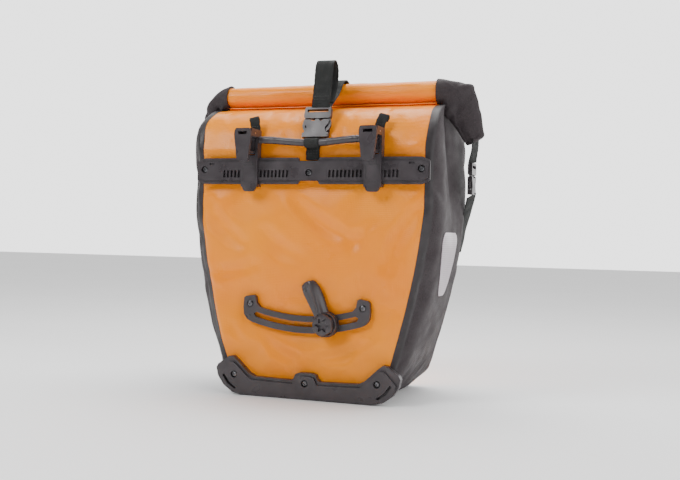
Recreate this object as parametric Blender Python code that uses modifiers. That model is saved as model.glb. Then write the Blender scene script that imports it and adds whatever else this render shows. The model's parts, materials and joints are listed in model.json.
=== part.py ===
"""Roll-top bicycle pannier bag with its hooks, rail, handle and straps.

Metres, +Z up. The bag stands on its base at z = 0, and its rack side faces -Y.
"""

import math

import bpy
import bmesh

# Driving dimensions of the bag body
GAP = 0.0003
CLOTH = 0.0015
FACE_Y = -0.085
FRONT_Y = 0.085
HALF_WIDTH = 0.1650
TAPER_TOP = 0.25
TAPER_DROP = 0.0550
BASE_HALF = 0.091
CORNER = (0.119, 0.0265)
BAND = 0.010
SHOULDER_Z = 0.315
NECK_Z = 0.3805
NECK_BACK_Y = -0.015
NECK_FRONT_Y = -0.004
PINCH = 0.020
STIFFENER_INSET = 0.006
STIFFENER = 0.002

# Roll closure
ROLL_Y, ROLL_Z, ROLL_R = -0.012, 0.399, 0.0175
ROLL_HALF = 0.151
ROLL_TURNS = 2

# Rail
RAIL_X, RAIL_HALF = 0.0025, 0.1590
RAIL_Z0, RAIL_Z1 = 0.2745, 0.3085
RAIL_BACK_Y, RAIL_FLANGE_Y, RAIL_FRONT_Y = -0.0853, -0.0925, -0.0975
WEB_Z0, WEB_Z1 = 0.2845, 0.2985
RAIL_SCREWS = {"left": (-0.145, 0.2936), "centre": (0.003, 0.2891), "right": (0.151, 0.2936)}
SLOT_PITCH = 0.00525
SLOT_FIRST, SLOT_COUNT = 0.0290, 18

# Screws
SHAFT_R, HEAD_R, HEAD_H = 0.0020, 0.0040, 0.0022
HOLE_R, RECESS_R, RECESS_DEPTH = 0.0024, 0.0047, 0.0035

# Hooks
HOOK_X = {"left": -0.0785, "right": 0.0895}
HOOK_HALF = 0.0115
CHEEK = 0.0034
PIVOT = (-0.108, 0.339)
PIN_R, PIN_BORE_R = 0.0012, 0.0015

# Handle
GRIP_Y, GRIP_R, GRIP_WALL = -0.0957, 0.0047, 0.0013
GRIP_END_Z, GRIP_SAG = 0.3315, 0.0045
SLEEVE_X, SLEEVE_HALF, SLEEVE_R = 0.0068, 0.0098, 0.0062

# Top strap and buckle
STRAP_X, STRAP_HALF, WEBBING = 0.0100, 0.0125, 0.0012
BUCKLE_STRAP_X, BUCKLE_X = 0.0045, 0.0070
BUCKLE_Y, BUCKLE_Z, BUCKLE_TILT = -0.0868, 0.3345, math.radians(-18)

# Lower hook on its arc
ARC_Z, ARC_R = 0.339, 0.2436
ARC_INNER, ARC_OUTER = 0.2330, 0.2550
ARC_SLOT_HALF, ARC_SLOT_ANGLE = 0.0032, math.radians(16.5)
ARC_SCREWS = {"left": (-0.0775, 0.1192), "right": (0.0775, 0.1192)}
ARC_FRONT_Y = -0.0915
HOOK_ANGLE = math.radians(7.2)
FIN_LEAN = math.radians(-26)
KNOB_R = 0.0132

# Bumper
BUMPER_X = 0.003
BUMPER_SCREWS = {"left": (-0.0963, 0.0262), "centre": (0.003, 0.0205), "right": (0.0995, 0.0262)}
BUMPER_FRONT_Y = -0.0975

# Side straps
SIDE_X, SIDE_Y, SIDE_Z = 0.1845, 0.037, 0.268

# Colour, roughness and metallic value of each material
FINISHES = {
    "tarpaulin": ((1.0, 0.40, 0.0), 0.35, 0.0),
    "gusset_fabric": ((0.088, 0.069, 0.074), 0.7, 0.0),
    "webbing": ((0.035, 0.038, 0.036), 0.8, 0.0),
    "nylon": ((0.095, 0.080, 0.088), 0.45, 0.0),
    "sheet_plastic": ((0.05, 0.05, 0.05), 0.5, 0.0),
    "steel": ((0.55, 0.55, 0.56), 0.3, 1.0),
    "black_steel": ((0.06, 0.06, 0.065), 0.35, 1.0),
    "reflector": ((0.60, 0.52, 0.57), 0.3, 0.0),
    "mesh_fabric": ((0.03, 0.03, 0.03), 0.9, 0.0),
}


# ---------------------------------------------------------------- scene helpers

def clear_scene():
    """Removes what a new file holds, and makes the two collections."""
    for obj in list(bpy.data.objects):
        bpy.data.objects.remove(obj, do_unlink=True)
    made = []
    for name in ("Pannier_Bag", "Cutters"):
        collection = bpy.data.collections.new(name)
        bpy.context.scene.collection.children.link(collection)
        made.append(collection)
    made[1].hide_render = True
    return made


def make_materials():
    """One Principled material for each entry of FINISHES."""
    made = {}
    for name, (colour, roughness, metallic) in FINISHES.items():
        material = bpy.data.materials.new(name)
        material.use_nodes = True
        shader = material.node_tree.nodes["Principled BSDF"]
        shader.inputs["Base Color"].default_value = (*colour, 1.0)
        shader.inputs["Roughness"].default_value = roughness
        shader.inputs["Metallic"].default_value = metallic
        made[name] = material
    return made


PARTS, CUTTERS = clear_scene()
MATERIALS = make_materials()


def add_mesh_object(name, mesh, material=None):
    """Links a mesh as a part, or as a helper where it has no material of its own."""
    obj = bpy.data.objects.new(name, mesh)
    if material:
        PARTS.objects.link(obj)
        mesh.materials.append(MATERIALS[material])
    else:
        CUTTERS.objects.link(obj)
        obj.hide_render = True
        obj.display_type = "WIRE"
    return obj


def curve_to_mesh(curve, name, material):
    """Makes a curve a welded mesh object, and removes the curve."""
    bpy.context.scene.collection.objects.link(curve)
    bpy.context.view_layer.update()
    graph = bpy.context.evaluated_depsgraph_get()
    mesh = bpy.data.meshes.new_from_object(curve.evaluated_get(graph))
    matrix = curve.matrix_world.copy()
    bpy.data.objects.remove(curve, do_unlink=True)
    form = bmesh.new()
    form.from_mesh(mesh)
    bmesh.ops.remove_doubles(form, verts=form.verts, dist=1e-6)
    bmesh.ops.recalc_face_normals(form, faces=form.faces)
    form.to_mesh(mesh)
    form.free()
    mesh.materials.clear()
    obj = add_mesh_object(name, mesh, material)
    obj.matrix_world = matrix
    return obj


def plate(name, outline, low, high, axis="Y", material=None, parent=None):
    """A flat outline given a thickness from low to high along X or Y.

    The outline is (x, z) for axis Y, and (y, z) for axis X.
    """
    data = bpy.data.curves.new(name, "CURVE")
    data.dimensions = "2D"
    data.fill_mode = "BOTH"
    data.extrude = (high - low) / 2
    spline = data.splines.new("POLY")
    spline.points.add(len(outline) - 1)
    for point, (u, v) in zip(spline.points, outline):
        point.co = (u, v, 0, 1)
    spline.use_cyclic_u = True
    curve = bpy.data.objects.new(name, data)
    middle = (low + high) / 2
    if axis == "Y":
        curve.location = (0, middle, 0)
        curve.rotation_euler = (math.pi / 2, 0, 0)
    else:
        curve.location = (middle, 0, 0)
        curve.rotation_euler = (math.pi / 2, 0, math.pi / 2)
    obj = curve_to_mesh(curve, name, material)
    if parent:
        obj.parent = parent
    return obj


def modify(obj, target, operation):
    """Joins the target to the object, or cuts it from the object."""
    modifier = obj.modifiers.new(operation.title(), "BOOLEAN")
    modifier.operation = operation
    modifier.solver = "EXACT"
    modifier.object = target
    return obj


def union(obj, *others):
    for other in others:
        modify(obj, other, "UNION")
    return obj


def cut(obj, *others):
    for other in others:
        modify(obj, other, "DIFFERENCE")
    return obj


def circle(centre, radius, count, start=0.0):
    """Points round a circle."""
    steps = [start + 2 * math.pi * i / count for i in range(count)]
    return [(centre[0] + radius * math.cos(a), centre[1] + radius * math.sin(a)) for a in steps]


def arc(centre, radius, first, last, count):
    """Points along an arc, with angles counted from straight down towards +X."""
    steps = [first + (last - first) * i / (count - 1) for i in range(count)]
    return [(centre[0] + radius * math.sin(a), centre[1] - radius * math.cos(a)) for a in steps]


def box_outline(u0, u1, v0, v1):
    return [(u0, v0), (u1, v0), (u1, v1), (u0, v1)]


def rounded(outline, radius, steps=3):
    """The outline with each corner replaced by a short curve, no longer than its sides allow."""
    made = []
    for i, (x, z) in enumerate(outline):
        (ax, az), (bx, bz) = outline[i - 1], outline[(i + 1) % len(outline)]
        before, after = math.hypot(ax - x, az - z), math.hypot(bx - x, bz - z)
        reach = min(radius, 0.45 * before, 0.45 * after)
        p = (x + (ax - x) * reach / before, z + (az - z) * reach / before)
        q = (x + (bx - x) * reach / after, z + (bz - z) * reach / after)
        for k in range(steps + 1):
            t = k / steps
            u = [(1 - t) ** 2 * a + 2 * t * (1 - t) * b + t * t * c for a, b, c in zip(p, (x, z), q)]
            made.append(tuple(u))
    return made


def mirrored(half):
    """A closed outline from its right half, listed from bottom to top."""
    return half + [(-x, z) for x, z in reversed(half) if x > 1e-6]


def shifted(outline, dx):
    return [(x + dx, z) for x, z in outline]


def sheet(name, rows, thickness, material, offset=-1.0):
    """A grid of points made a solid by giving the surface a thickness."""
    form = bmesh.new()
    grid = [[form.verts.new(point) for point in row] for row in rows]
    for upper, lower in zip(grid, grid[1:]):
        for i in range(len(upper) - 1):
            form.faces.new((upper[i], upper[i + 1], lower[i + 1], lower[i]))
    mesh = bpy.data.meshes.new(name)
    form.to_mesh(mesh)
    form.free()
    obj = add_mesh_object(name, mesh, material)
    solid = obj.modifiers.new("Thickness", "SOLIDIFY")
    solid.thickness = thickness
    solid.offset = offset
    solid.use_even_offset = True
    return obj


def loft(name, rings, material):
    """A closed solid through rings of equal length, with flat ends."""
    form = bmesh.new()
    made = [[form.verts.new(point) for point in ring] for ring in rings]
    count = len(made[0])
    for ring, following in zip(made, made[1:]):
        for i in range(count):
            k = (i + 1) % count
            form.faces.new((ring[i], ring[k], following[k], following[i]))
    form.faces.new(made[0])
    form.faces.new(made[-1])
    bmesh.ops.recalc_face_normals(form, faces=form.faces)
    mesh = bpy.data.meshes.new(name)
    form.to_mesh(mesh)
    form.free()
    return add_mesh_object(name, mesh, material)


def shade_round(obj, degrees=40):
    """Smooth shading, sharp only at real edges."""
    obj.data.shade_smooth()
    obj.data.set_sharp_from_angle(angle=math.radians(degrees))
    return obj


def turned(name, profile, location, steps, material=None):
    """A profile of (radius, distance) turned round an axis that points to -Y.

    The profile runs from its outer face (towards -Y) to its inner end.
    """
    mesh = bpy.data.meshes.new(name)
    points = [(radius, 0, height) for radius, height in profile]
    mesh.from_pydata(points, [(i, i + 1) for i in range(len(points) - 1)], [])
    obj = add_mesh_object(name, mesh, material)
    obj.location = location
    obj.rotation_euler = (math.pi / 2, 0, 0)
    screw = obj.modifiers.new("Turn", "SCREW")
    screw.axis = "Z"
    screw.steps = steps
    screw.render_steps = steps
    screw.use_merge_vertices = True
    screw.merge_threshold = 0.0001
    screw.use_smooth_shade = True
    return obj


def empty_at(name, location, rotation=(0, 0, 0)):
    empty = bpy.data.objects.new(name, None)
    empty.location = location
    empty.rotation_euler = rotation
    empty.empty_display_size = 0.01
    PARTS.objects.link(empty)
    bpy.context.view_layer.update()
    return empty


def hang(obj, parent):
    """Parents an object and keeps it where it is."""
    obj.parent = parent
    obj.matrix_parent_inverse = parent.matrix_world.inverted()
    return obj


# ---------------------------------------------------------------- shape of the bag

def half_width(z):
    """Half the width of the bag's face at a height: straight above, tapering below."""
    if z >= TAPER_TOP:
        return HALF_WIDTH
    return HALF_WIDTH - TAPER_DROP * (1 - z / TAPER_TOP) ** 1.5


def shoulder(turn):
    """Height and face positions where the walls curve in to the neck, turn from 0 to 1."""
    angle = turn * math.pi / 2
    inward = 1 - math.cos(angle)
    z = SHOULDER_Z + (NECK_Z - SHOULDER_Z) * math.sin(angle)
    back = FACE_Y + (NECK_BACK_Y - FACE_Y) * inward
    front = FRONT_Y + (NECK_FRONT_Y - FRONT_Y) * inward
    return z, back, front


TAPER_HEIGHTS = (0.06, 0.09, 0.12, 0.15, 0.18, 0.21, 0.25, SHOULDER_Z)
SHOULDER_TURNS = (0.18, 0.36, 0.54, 0.72, 0.88, 1.0)


def side_path():
    """Right-hand edge of the bag's face, as (x, z, back y, front y, pinch)."""
    path = [(BASE_HALF, 0.0, FACE_Y, FRONT_Y, 0.0), (*CORNER, FACE_Y, FRONT_Y, 0.0)]
    path += [(half_width(z), z, FACE_Y, FRONT_Y, 0.0) for z in TAPER_HEIGHTS]
    for turn in SHOULDER_TURNS:
        z, back, front = shoulder(turn)
        path.append((HALF_WIDTH + 0.001 * turn, z, back, front, PINCH * math.sin(math.pi * turn)))
    return path


def inward_steps(path):
    """For each point of the path, the step inwards whose length is 1 across the edge."""
    steps = []
    for i, point in enumerate(path):
        normals = []
        for a, b in ((i - 1, i), (i, i + 1)):
            if a < 0:
                normals.append((0.0, 1.0))
                continue
            if b >= len(path) or path[i][2] > FACE_Y:
                normals.append((-1.0, 0.0))
                continue
            dx, dz = path[b][0] - path[a][0], path[b][1] - path[a][1]
            length = math.hypot(dx, dz)
            normals.append((-dz / length, dx / length))
        nx, nz = normals[0][0] + normals[1][0], normals[0][1] + normals[1][1]
        length = math.hypot(nx, nz)
        nx, nz = nx / length, nz / length
        cosine = nx * normals[0][0] + nz * normals[0][1]
        steps.append((nx / cosine, nz / cosine))
    return steps


PATH = side_path()
STEPS = inward_steps(PATH)


def inset(distance):
    """The path moved inwards, as (x, z, back y, front y)."""
    return [
        (x + nx * distance, z + nz * distance, back, front)
        for (x, z, back, front, _), (nx, nz) in zip(PATH, STEPS)
    ]


def body_panel(name, side):
    """The back or front wall: flat up to the shoulder, then curved in to the neck."""
    rows = []
    for x, z, back, front in inset(BAND + GAP):
        y = back if side == "back" else front
        rows.append([(-x, y, z), (x, y, z)])
    if side == "back":
        rows = [row[::-1] for row in rows]
    return sheet(name, rows[::-1], CLOTH, "tarpaulin")


def gusset(name, sign):
    """The side strip: a channel whose two flanges lie on the faces, pinched in at the top."""
    rows = []
    for (x, z, back, front, pinch), (nx, nz) in zip(PATH, STEPS):
        middle = (back + front) / 2
        quarter = (front - back) / 4
        flange_x, flange_z = x + nx * BAND, z + nz * BAND
        row = [
            (sign * flange_x, back, flange_z),
            (sign * x, back, z),
            (sign * (x - 0.25 * pinch), middle - quarter, z),
            (sign * (x - pinch), middle, z),
            (sign * (x - 0.25 * pinch), middle + quarter, z),
            (sign * x, front, z),
            (sign * flange_x, front, flange_z),
        ]
        rows.append(row[::-1] if sign > 0 else row)
    return sheet(name, rows[::-1], CLOTH, "gusset_fabric")


def base_panel():
    """The bottom strip between the gussets, with the same flanges."""
    rows = []
    for sign in (-1, 1):
        x, flange_x = sign * (BASE_HALF - 4.5 * GAP), sign * (inset(BAND)[0][0] - 2 * GAP)
        rows.append([(flange_x, FACE_Y, BAND), (x, FACE_Y, 0), (x, FRONT_Y, 0), (flange_x, FRONT_Y, BAND)])
    return sheet("base_panel", rows, CLOTH, "gusset_fabric")


def back_stiffener():
    """The plastic sheet inside the back wall, which the rails are screwed to."""
    outline = [(x, z) for x, z, back, _ in inset(STIFFENER_INSET) if back == FACE_Y]
    high = FACE_Y + CLOTH + GAP
    return plate("back_stiffener", mirrored(outline), high, high + STIFFENER, material="sheet_plastic")


def inner_pocket():
    """The flat pocket on the inside of the back wall, under the rail's nuts."""
    half, low, high, corner = 0.105, 0.135, 0.270, 0.012
    outline = [(half - corner, low), (half, low + corner), (half, high), (-half, high)]
    outline += [(-half, low + corner), (-half + corner, low)]
    front = FACE_Y + CLOTH + 2 * GAP + STIFFENER
    return plate("inner_pocket", outline, front, front + 0.002, material="mesh_fabric")


def side_reflector(name, sign):
    """An eight-sided plate that follows the gusset, wide above and tapered below."""
    centre, thickness = 0.000, 0.0008
    rows = []
    spans = ((0.1345, 0.013), (0.15, 0.023), (0.18, 0.035), (0.205, 0.040), (0.21, 0.037), (0.2165, 0.031))
    for z, half in spans:
        above = next(i for i, point in enumerate(PATH) if point[1] >= z)
        (x0, z0), (x1, z1) = PATH[above - 1][:2], PATH[above][:2]
        x = x0 + (x1 - x0) * (z - z0) / (z1 - z0) + 1.2 * GAP
        row = [(sign * x, centre - half, z), (sign * x, centre + half, z)]
        rows.append(row[::-1] if sign > 0 else row)
    return sheet(name, rows[::-1], thickness, "reflector", offset=1.0)


# ---------------------------------------------------------------- closure

def roll_top():
    """The rolled mouth of the bag: a spiral of fabric."""
    pitch, steps = 0.0033, 14 * ROLL_TURNS
    outer, inner = [], []
    for i in range(steps + 1):
        turns = ROLL_TURNS * i / steps
        angle = -math.pi / 2 + 2 * math.pi * turns
        radius = ROLL_R - pitch * turns
        for points, r in ((outer, radius), (inner, radius - CLOTH)):
            points.append((ROLL_Y + r * math.cos(angle), ROLL_Z + r * math.sin(angle)))
    outline = outer + inner[::-1]
    roll = plate("roll_top", outline, -ROLL_HALF, ROLL_HALF, "X", "tarpaulin")
    return shade_round(roll)


def closure_stiffener():
    """The stiff strip at the core of the roll."""
    outline = box_outline(ROLL_Y - 0.0065, ROLL_Y + 0.0065, ROLL_Z - 0.0008, ROLL_Z + 0.0008)
    return plate("closure_stiffener", outline, -0.140, 0.140, "X", "sheet_plastic")


WINGS = {
    # outer edge (x, z), inner edge (x, z), y, half thickness, from the roll to the tip
    "left": (((0.1513, 0.4163), (0.1513, 0.3818), -0.012, 0.0172), ((0.1640, 0.4110), (0.1600, 0.3830), -0.0115, 0.0140),
             ((0.1800, 0.3980), (0.1690, 0.3840), -0.0105, 0.0112), ((0.1895, 0.3800), (0.1730, 0.3730), -0.007, 0.0092),
             ((0.1945, 0.3620), (0.1765, 0.3580), 0.002, 0.0072), ((0.1975, 0.3450), (0.1830, 0.3360), 0.013, 0.0045)),
    "right": (((0.1513, 0.4163), (0.1513, 0.3818), -0.012, 0.0172), ((0.1690, 0.4135), (0.1630, 0.3830), -0.011, 0.0140),
              ((0.1935, 0.4085), (0.1690, 0.3870), -0.008, 0.0110), ((0.1985, 0.3850), (0.1710, 0.3740), -0.001, 0.0090),
              ((0.2005, 0.3640), (0.1745, 0.3600), 0.010, 0.0070), ((0.2022, 0.3450), (0.1830, 0.3345), 0.022, 0.0045)),
}


def roll_wing(side):
    """The flattened end of the roll, folded down outside the bag."""
    count, rings = 12, []
    sign = -1 if side == "left" else 1
    for (ox, oz), (ix, iz), y, thick in WINGS[side]:
        ring = []
        for i in range(count):
            angle = 2 * math.pi * i / count
            share = (1 + math.cos(angle)) / 2
            ring.append((sign * (ix + (ox - ix) * share), y + thick * math.sin(angle), iz + (oz - iz) * share))
        rings.append(ring)
    return shade_round(loft(f"{side}_roll_wing", rings, "gusset_fabric"), 60)


def ribbon(name, centres, half, material="webbing", across="X"):
    """A strip of webbing along its centre line, with its width along X or Y."""
    rows = []
    for x, y, z in centres:
        if across == "X":
            rows.append([(x - half, y, z), (x + half, y, z)])
        else:
            rows.append([(x, y - half, z), (x, y + half, z)])
    return sheet(name, rows, WEBBING, material, offset=0.0)


def front_slope(turn, lift):
    """A point above the front shoulder, lifted off along its slope's normal."""
    z, _, y = shoulder(turn)
    angle = turn * math.pi / 2
    ny = math.cos(angle) * (NECK_Z - SHOULDER_Z)
    nz = math.sin(angle) * (FRONT_Y - NECK_FRONT_Y)
    length = math.hypot(ny, nz)
    return y + lift * ny / length, z + lift * nz / length


def top_strap():
    """The strap that holds the roll: from the front wall over the roll to the plug."""
    lift = WEBBING / 2 + GAP
    route = [(FRONT_Y + lift + 0.0004, SHOULDER_Z + 0.0012)]
    route += [front_slope(turn, lift + 0.0004) for turn in (0.18, 0.36, 0.54, 0.72)]
    hug = ROLL_R + WEBBING / 2 + 2 * GAP
    route += [(ROLL_Y + hug * math.cos(a), ROLL_Z + hug * math.sin(a)) for a in
              [math.radians(d) for d in (-5, 22, 50, 78, 106, 134, 160)]]
    route += [(-0.0405, 0.3955), (-0.0560, 0.3855), (-0.0685, 0.3760)]
    return ribbon("top_strap", [(STRAP_X, y, z) for y, z in route], STRAP_HALF)


def strap_tail():
    """The strap's free end, looped up from the plug and tucked down behind it."""
    route = ((-0.0770, 0.3760), (-0.0748, 0.3880), (-0.0722, 0.4040), (-0.0700, 0.4200),
             (-0.0672, 0.4305), (-0.0610, 0.4368), (-0.0535, 0.4358), (-0.0482, 0.4290),
             (-0.0468, 0.4190), (-0.0495, 0.4050), (-0.0565, 0.3910))
    return ribbon("strap_tail", [(STRAP_X, y, z) for y, z in route], STRAP_HALF)


def strap_patch():
    """The patch welded to the front wall, which the top strap starts from."""
    outline = box_outline(STRAP_X - 0.019, STRAP_X + 0.019, 0.2870, 0.3140)
    return plate("strap_patch", outline, FRONT_Y + GAP, FRONT_Y + GAP + 0.0014, material="gusset_fabric")


def buckle_strap():
    """The short webbing from behind the rail's middle up to the top buckle's socket."""
    low = WEB_Z1 + 0.0007
    x = BUCKLE_STRAP_X
    route = ((x, BUCKLE_Y - 0.0008, low), (x, BUCKLE_Y - 0.0004, 0.318), (x, BUCKLE_Y, BUCKLE_Z - 0.0014))
    return ribbon("buckle_strap", route, 0.0090)


def buckle_socket(name, place, width):
    """An open-framed buckle socket: two plates joined at the foot, seen from -Y."""
    half = width / 2
    plates = 0.0013
    thick = 0.0032
    waist = [(half * 0.88, 0.0), (half * 0.92, 0.0050), (half * 0.70, 0.0095), (half * 0.68, 0.0140)]
    waist += [(half * 0.90, 0.0185), (half * 0.96, 0.0240), (half * 0.50, 0.0246), (half * 0.38, 0.0222)]
    socket = plate(name, rounded(mirrored(waist), 0.0018), -thick, -thick + plates, material="nylon", parent=place)
    back = [(half * 0.95, 0.0), (half * 0.95, 0.0235), (half * 0.4, 0.0235)]
    back = plate(name + "_back", mirrored(back), thick - plates, thick, parent=place)
    foot = plate(name + "_foot", box_outline(-half * 0.96, half * 0.96, 0.0002, 0.0062),
                 -thick + 0.0004, thick - 0.0004, parent=place)
    return union(socket, back, foot)


def buckle_plug(name, place, width, material="nylon"):
    """The plug: a bar for the webbing, a tongue, and two arms that bow outwards."""
    half = width / 2
    frame = mirrored([(half * 0.95, 0.0262), (half, 0.0300), (half * 0.96, 0.0420)])
    plug = plate(name, rounded(frame, 0.003), -0.0031, 0.0031, material=material, parent=place)
    window = plate(name + "_window", box_outline(-half * 0.78, half * 0.78, 0.0345, 0.0385),
                   -0.006, 0.006, parent=place)
    tongue = plate(name + "_tongue", box_outline(-0.0030, 0.0030, 0.0085, 0.0270),
                   -0.0013, 0.0013, parent=place)
    bow = [(half * 0.70, 0.0270), (half * 0.93, 0.0270), (half * 1.04, 0.0215), (half * 1.06, 0.0160)]
    bow += [(half * 0.96, 0.0110), (half * 0.80, 0.0080), (half * 0.62, 0.0080), (half * 0.66, 0.0110)]
    bow += [(half * 0.86, 0.0150), (half * 0.84, 0.0210)]
    arms = [plate(name + "_arm", [(s * x, z) for x, z in bow], -0.0013, 0.0013, parent=place)
            for s in (-1, 1)]
    return cut(union(plug, tongue, *arms), window)


# ---------------------------------------------------------------- side straps

def side_strap(name, sign):
    """The webbing from the front edge of the gusset up to the side buckle's socket."""
    route = ((half_width(0.178) + 0.0014, 0.0745, 0.178), (half_width(0.200) + 0.0014, 0.0742, 0.200),
             (HALF_WIDTH + 0.0016, 0.0710, 0.222), (0.1715, 0.0620, 0.238), (0.1785, 0.0490, 0.254),
             (SIDE_X - 0.0005, SIDE_Y + 0.001, SIDE_Z - 0.0012))
    return ribbon(name, [(sign * x, y, z) for x, y, z in route], 0.0095, across="Y")


def plug_strap(name, sign):
    """The short webbing from the side buckle's plug up to the roll's folded end."""
    route = ((SIDE_X, SIDE_Y - 0.0005, SIDE_Z + 0.0430), (0.1875, 0.0320, 0.3200), (0.1900, 0.0262, 0.3275))
    return ribbon(name, [(sign * x, y, z) for x, y, z in route], 0.0090, across="Y")


# ---------------------------------------------------------------- fasteners

def screw(name, place, seat_y, end_y):
    """A pan-head screw with a hexagon socket, its head seated at seat_y and facing -Y."""
    x, z = place
    crown = HEAD_H
    profile = ((0.0014, crown - 0.0012), (0.0014, crown), (HEAD_R * 0.6, crown), (HEAD_R * 0.92, crown * 0.65),
               (HEAD_R, 0.0003), (HEAD_R * 0.98, 0.0), (SHAFT_R, 0.0), (SHAFT_R, seat_y - end_y))
    profile = ((0.0, crown - 0.0012), *profile, (0.0, seat_y - end_y))
    return turned(name, profile, (x, seat_y, z), 12, "black_steel")


def nut(name, place):
    """A hexagon nut behind the stiffener."""
    low = FACE_Y + CLOTH + 2 * GAP + STIFFENER
    outline = circle(place, 0.0046, 6)
    hexagon = plate(name, outline, low, low + 0.003, material="steel")
    bore = plate(name + "_bore", circle(place, HOLE_R, 10), low - 0.002, low + 0.005)
    return cut(hexagon, bore)


def bore_cutter(name, place, radius, low, high, count=12):
    return plate(name, circle(place, radius, count, 0.13), low, high)


# ---------------------------------------------------------------- rail and hooks

def hook_rail():
    """The rail: a raised face on thinner flanges, stood off on a web so that hooks grip it."""
    end = 0.0035
    half = [(0.0132, RAIL_Z0 + 0.0042), (0.0140, RAIL_Z0), (RAIL_HALF - 2.8 * end, RAIL_Z0),
            (RAIL_HALF, RAIL_Z0 + 1.4 * end), (RAIL_HALF, RAIL_Z1 - 1.4 * end), (RAIL_HALF - 2.8 * end, RAIL_Z1),
            (0.0140, RAIL_Z1), (0.0132, RAIL_Z1 - 0.0042)]
    outline = shifted(rounded(mirrored(half), 0.0018), RAIL_X)
    rail = plate("hook_rail", outline, RAIL_FRONT_Y + 0.002, RAIL_FLANGE_Y, material="nylon")
    lip = 0.0048
    face = [(RAIL_HALF - 0.010, RAIL_Z0 + lip), (RAIL_HALF - 0.0015, RAIL_Z0 + 2.4 * end),
            (RAIL_HALF - 0.0015, RAIL_Z1 - 2.4 * end), (RAIL_HALF - 0.010, RAIL_Z1 - lip)]
    face = shifted(rounded(mirrored(face), 0.0018), RAIL_X)
    face = plate("rail_face", face, RAIL_FRONT_Y, RAIL_FLANGE_Y - 0.001)
    web = box_outline(RAIL_X - RAIL_HALF + 0.003, RAIL_X + RAIL_HALF - 0.003, WEB_Z0, WEB_Z1)
    web = plate("rail_web", web, RAIL_FLANGE_Y - 0.0004, RAIL_BACK_Y)
    union(rail, face, web)
    for side, place in RAIL_SCREWS.items():
        cut(rail, bore_cutter(f"rail_hole_{side}", place, HOLE_R, -0.11, -0.08),
            bore_cutter(f"rail_recess_{side}", place, RECESS_R, -0.11, RAIL_FRONT_Y + RECESS_DEPTH, 16))
    for sign in (-1, 1):
        for i in range(SLOT_COUNT):
            x = RAIL_X + sign * (SLOT_FIRST + i * SLOT_PITCH)
            slot = [(x - 0.0017, 0.2832), (x + 0.0012, 0.2832), (x + 0.0018, 0.2924), (x - 0.0011, 0.2924)]
            cut(rail, plate(f"rail_slot_{i}", slot, -0.11, RAIL_FRONT_Y + 0.0034))
        window = box_outline(*sorted((RAIL_X + sign * 0.133, RAIL_X + sign * 0.140)), 0.2996, 0.3021)
        cut(rail, plate("rail_window", window, -0.11, RAIL_FRONT_Y + 0.0018))
    return rail


def claw(side, z_lip, z_out, z_tip, x0, x1):
    """One grip of the hook round a flange of the rail, seen along X."""
    back, front = -0.0890, -0.1010
    outline = [(front, z_lip), (-0.0921, z_lip), (-0.0921, z_tip), (back, z_tip), (back, z_out), (front, z_out)]
    return plate(f"claw_{side}", outline, x0, x1, "X")


def rail_hook(side):
    """One hook: it grips the rail, and its mouth opens downwards over a rack tube."""
    x = HOOK_X[side]
    name = f"{side}_hook"
    nose = [(0.0058, 0.2648), (0.0082, 0.2667), (HOOK_HALF - 0.001, 0.2727), (HOOK_HALF, 0.2747)]
    nose += [(HOOK_HALF, 0.3113)]
    hook = plate(name, shifted(rounded(mirrored(nose), 0.002), x), -0.1010, -0.0978, material="nylon")
    x0, x1 = x - HOOK_HALF, x + HOOK_HALF
    top = claw(side + "_top", RAIL_Z1 + 0.0004, 0.3118, 0.3037, x0, x1)
    low = claw(side + "_low", RAIL_Z0 - 0.0004, 0.2709, 0.2793, x0, x1)
    cheek = [(-0.1008, 0.3105), (-0.1008, 0.3345), (-0.1188, 0.3345), (-0.1188, 0.3446),
             (-0.0892, 0.3446), (-0.0892, 0.3105)]
    cheeks = [plate(f"{name}_cheek_{i}", cheek, *span, "X")
              for i, span in enumerate(((x0, x0 + CHEEK), (x1 - CHEEK, x1)))]
    lip = [(0.0058, 0.3025), (0.0078, 0.3040), (0.0114, 0.3335), (0.0117, 0.3385), (0.0102, 0.3447)]
    lip = plate(name + "_lip", shifted(rounded(mirrored(lip), 0.0025), x), -0.1225, -0.1183)
    roof = plate(name + "_roof", [(-0.1200, 0.3427), (-0.0890, 0.3427), (-0.0890, 0.3447), (-0.1200, 0.3447)],
                 x0 + 0.001, x1 - 0.001, "X")
    union(hook, top, low, *cheeks, lip, roof)
    window = plate(name + "_window", shifted(box_outline(-0.0060, 0.0060, 0.3365, 0.3405), x), -0.125, -0.117)
    bore = plate(name + "_bore", circle(PIVOT, PIN_BORE_R, 10), x0 - 0.002, x1 + 0.002, "X")
    return cut(hook, window, bore)


def hook_latch(side):
    """The latch that closes a hook's mouth: it hangs on its pin and bars the tube's way out."""
    x = HOOK_X[side]
    half = HOOK_HALF - CHEEK - 0.0008
    outline = [(-0.1108, 0.3405), (-0.1092, 0.3420), (-0.1068, 0.3420), (-0.1045, 0.3405),
               (-0.0980, 0.3345), (-0.0980, 0.3132), (-0.0995, 0.3128), (-0.1143, 0.3128),
               (-0.1150, 0.3145), (-0.1143, 0.3163), (-0.1010, 0.3167), (-0.1010, 0.3305),
               (-0.1060, 0.3358), (-0.1095, 0.3362), (-0.1110, 0.3380)]
    latch = plate(f"{side}_latch", outline, x - half, x + half, "X", "nylon")
    bore = plate(f"{side}_latch_bore", circle(PIVOT, PIN_BORE_R, 10), x - 0.02, x + 0.02, "X")
    cut(latch, bore)
    return hang(latch, empty_at(f"{side}_latch_axis", (x, *PIVOT)))


def latch_pin(side):
    """The steel pin that the latch turns on."""
    x = HOOK_X[side]
    outline = circle(PIVOT, PIN_R, 10)
    half = HOOK_HALF + 0.0003
    return shade_round(plate(f"{side}_latch_pin", outline, x - half, x + half, "X", "steel"))


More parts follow.
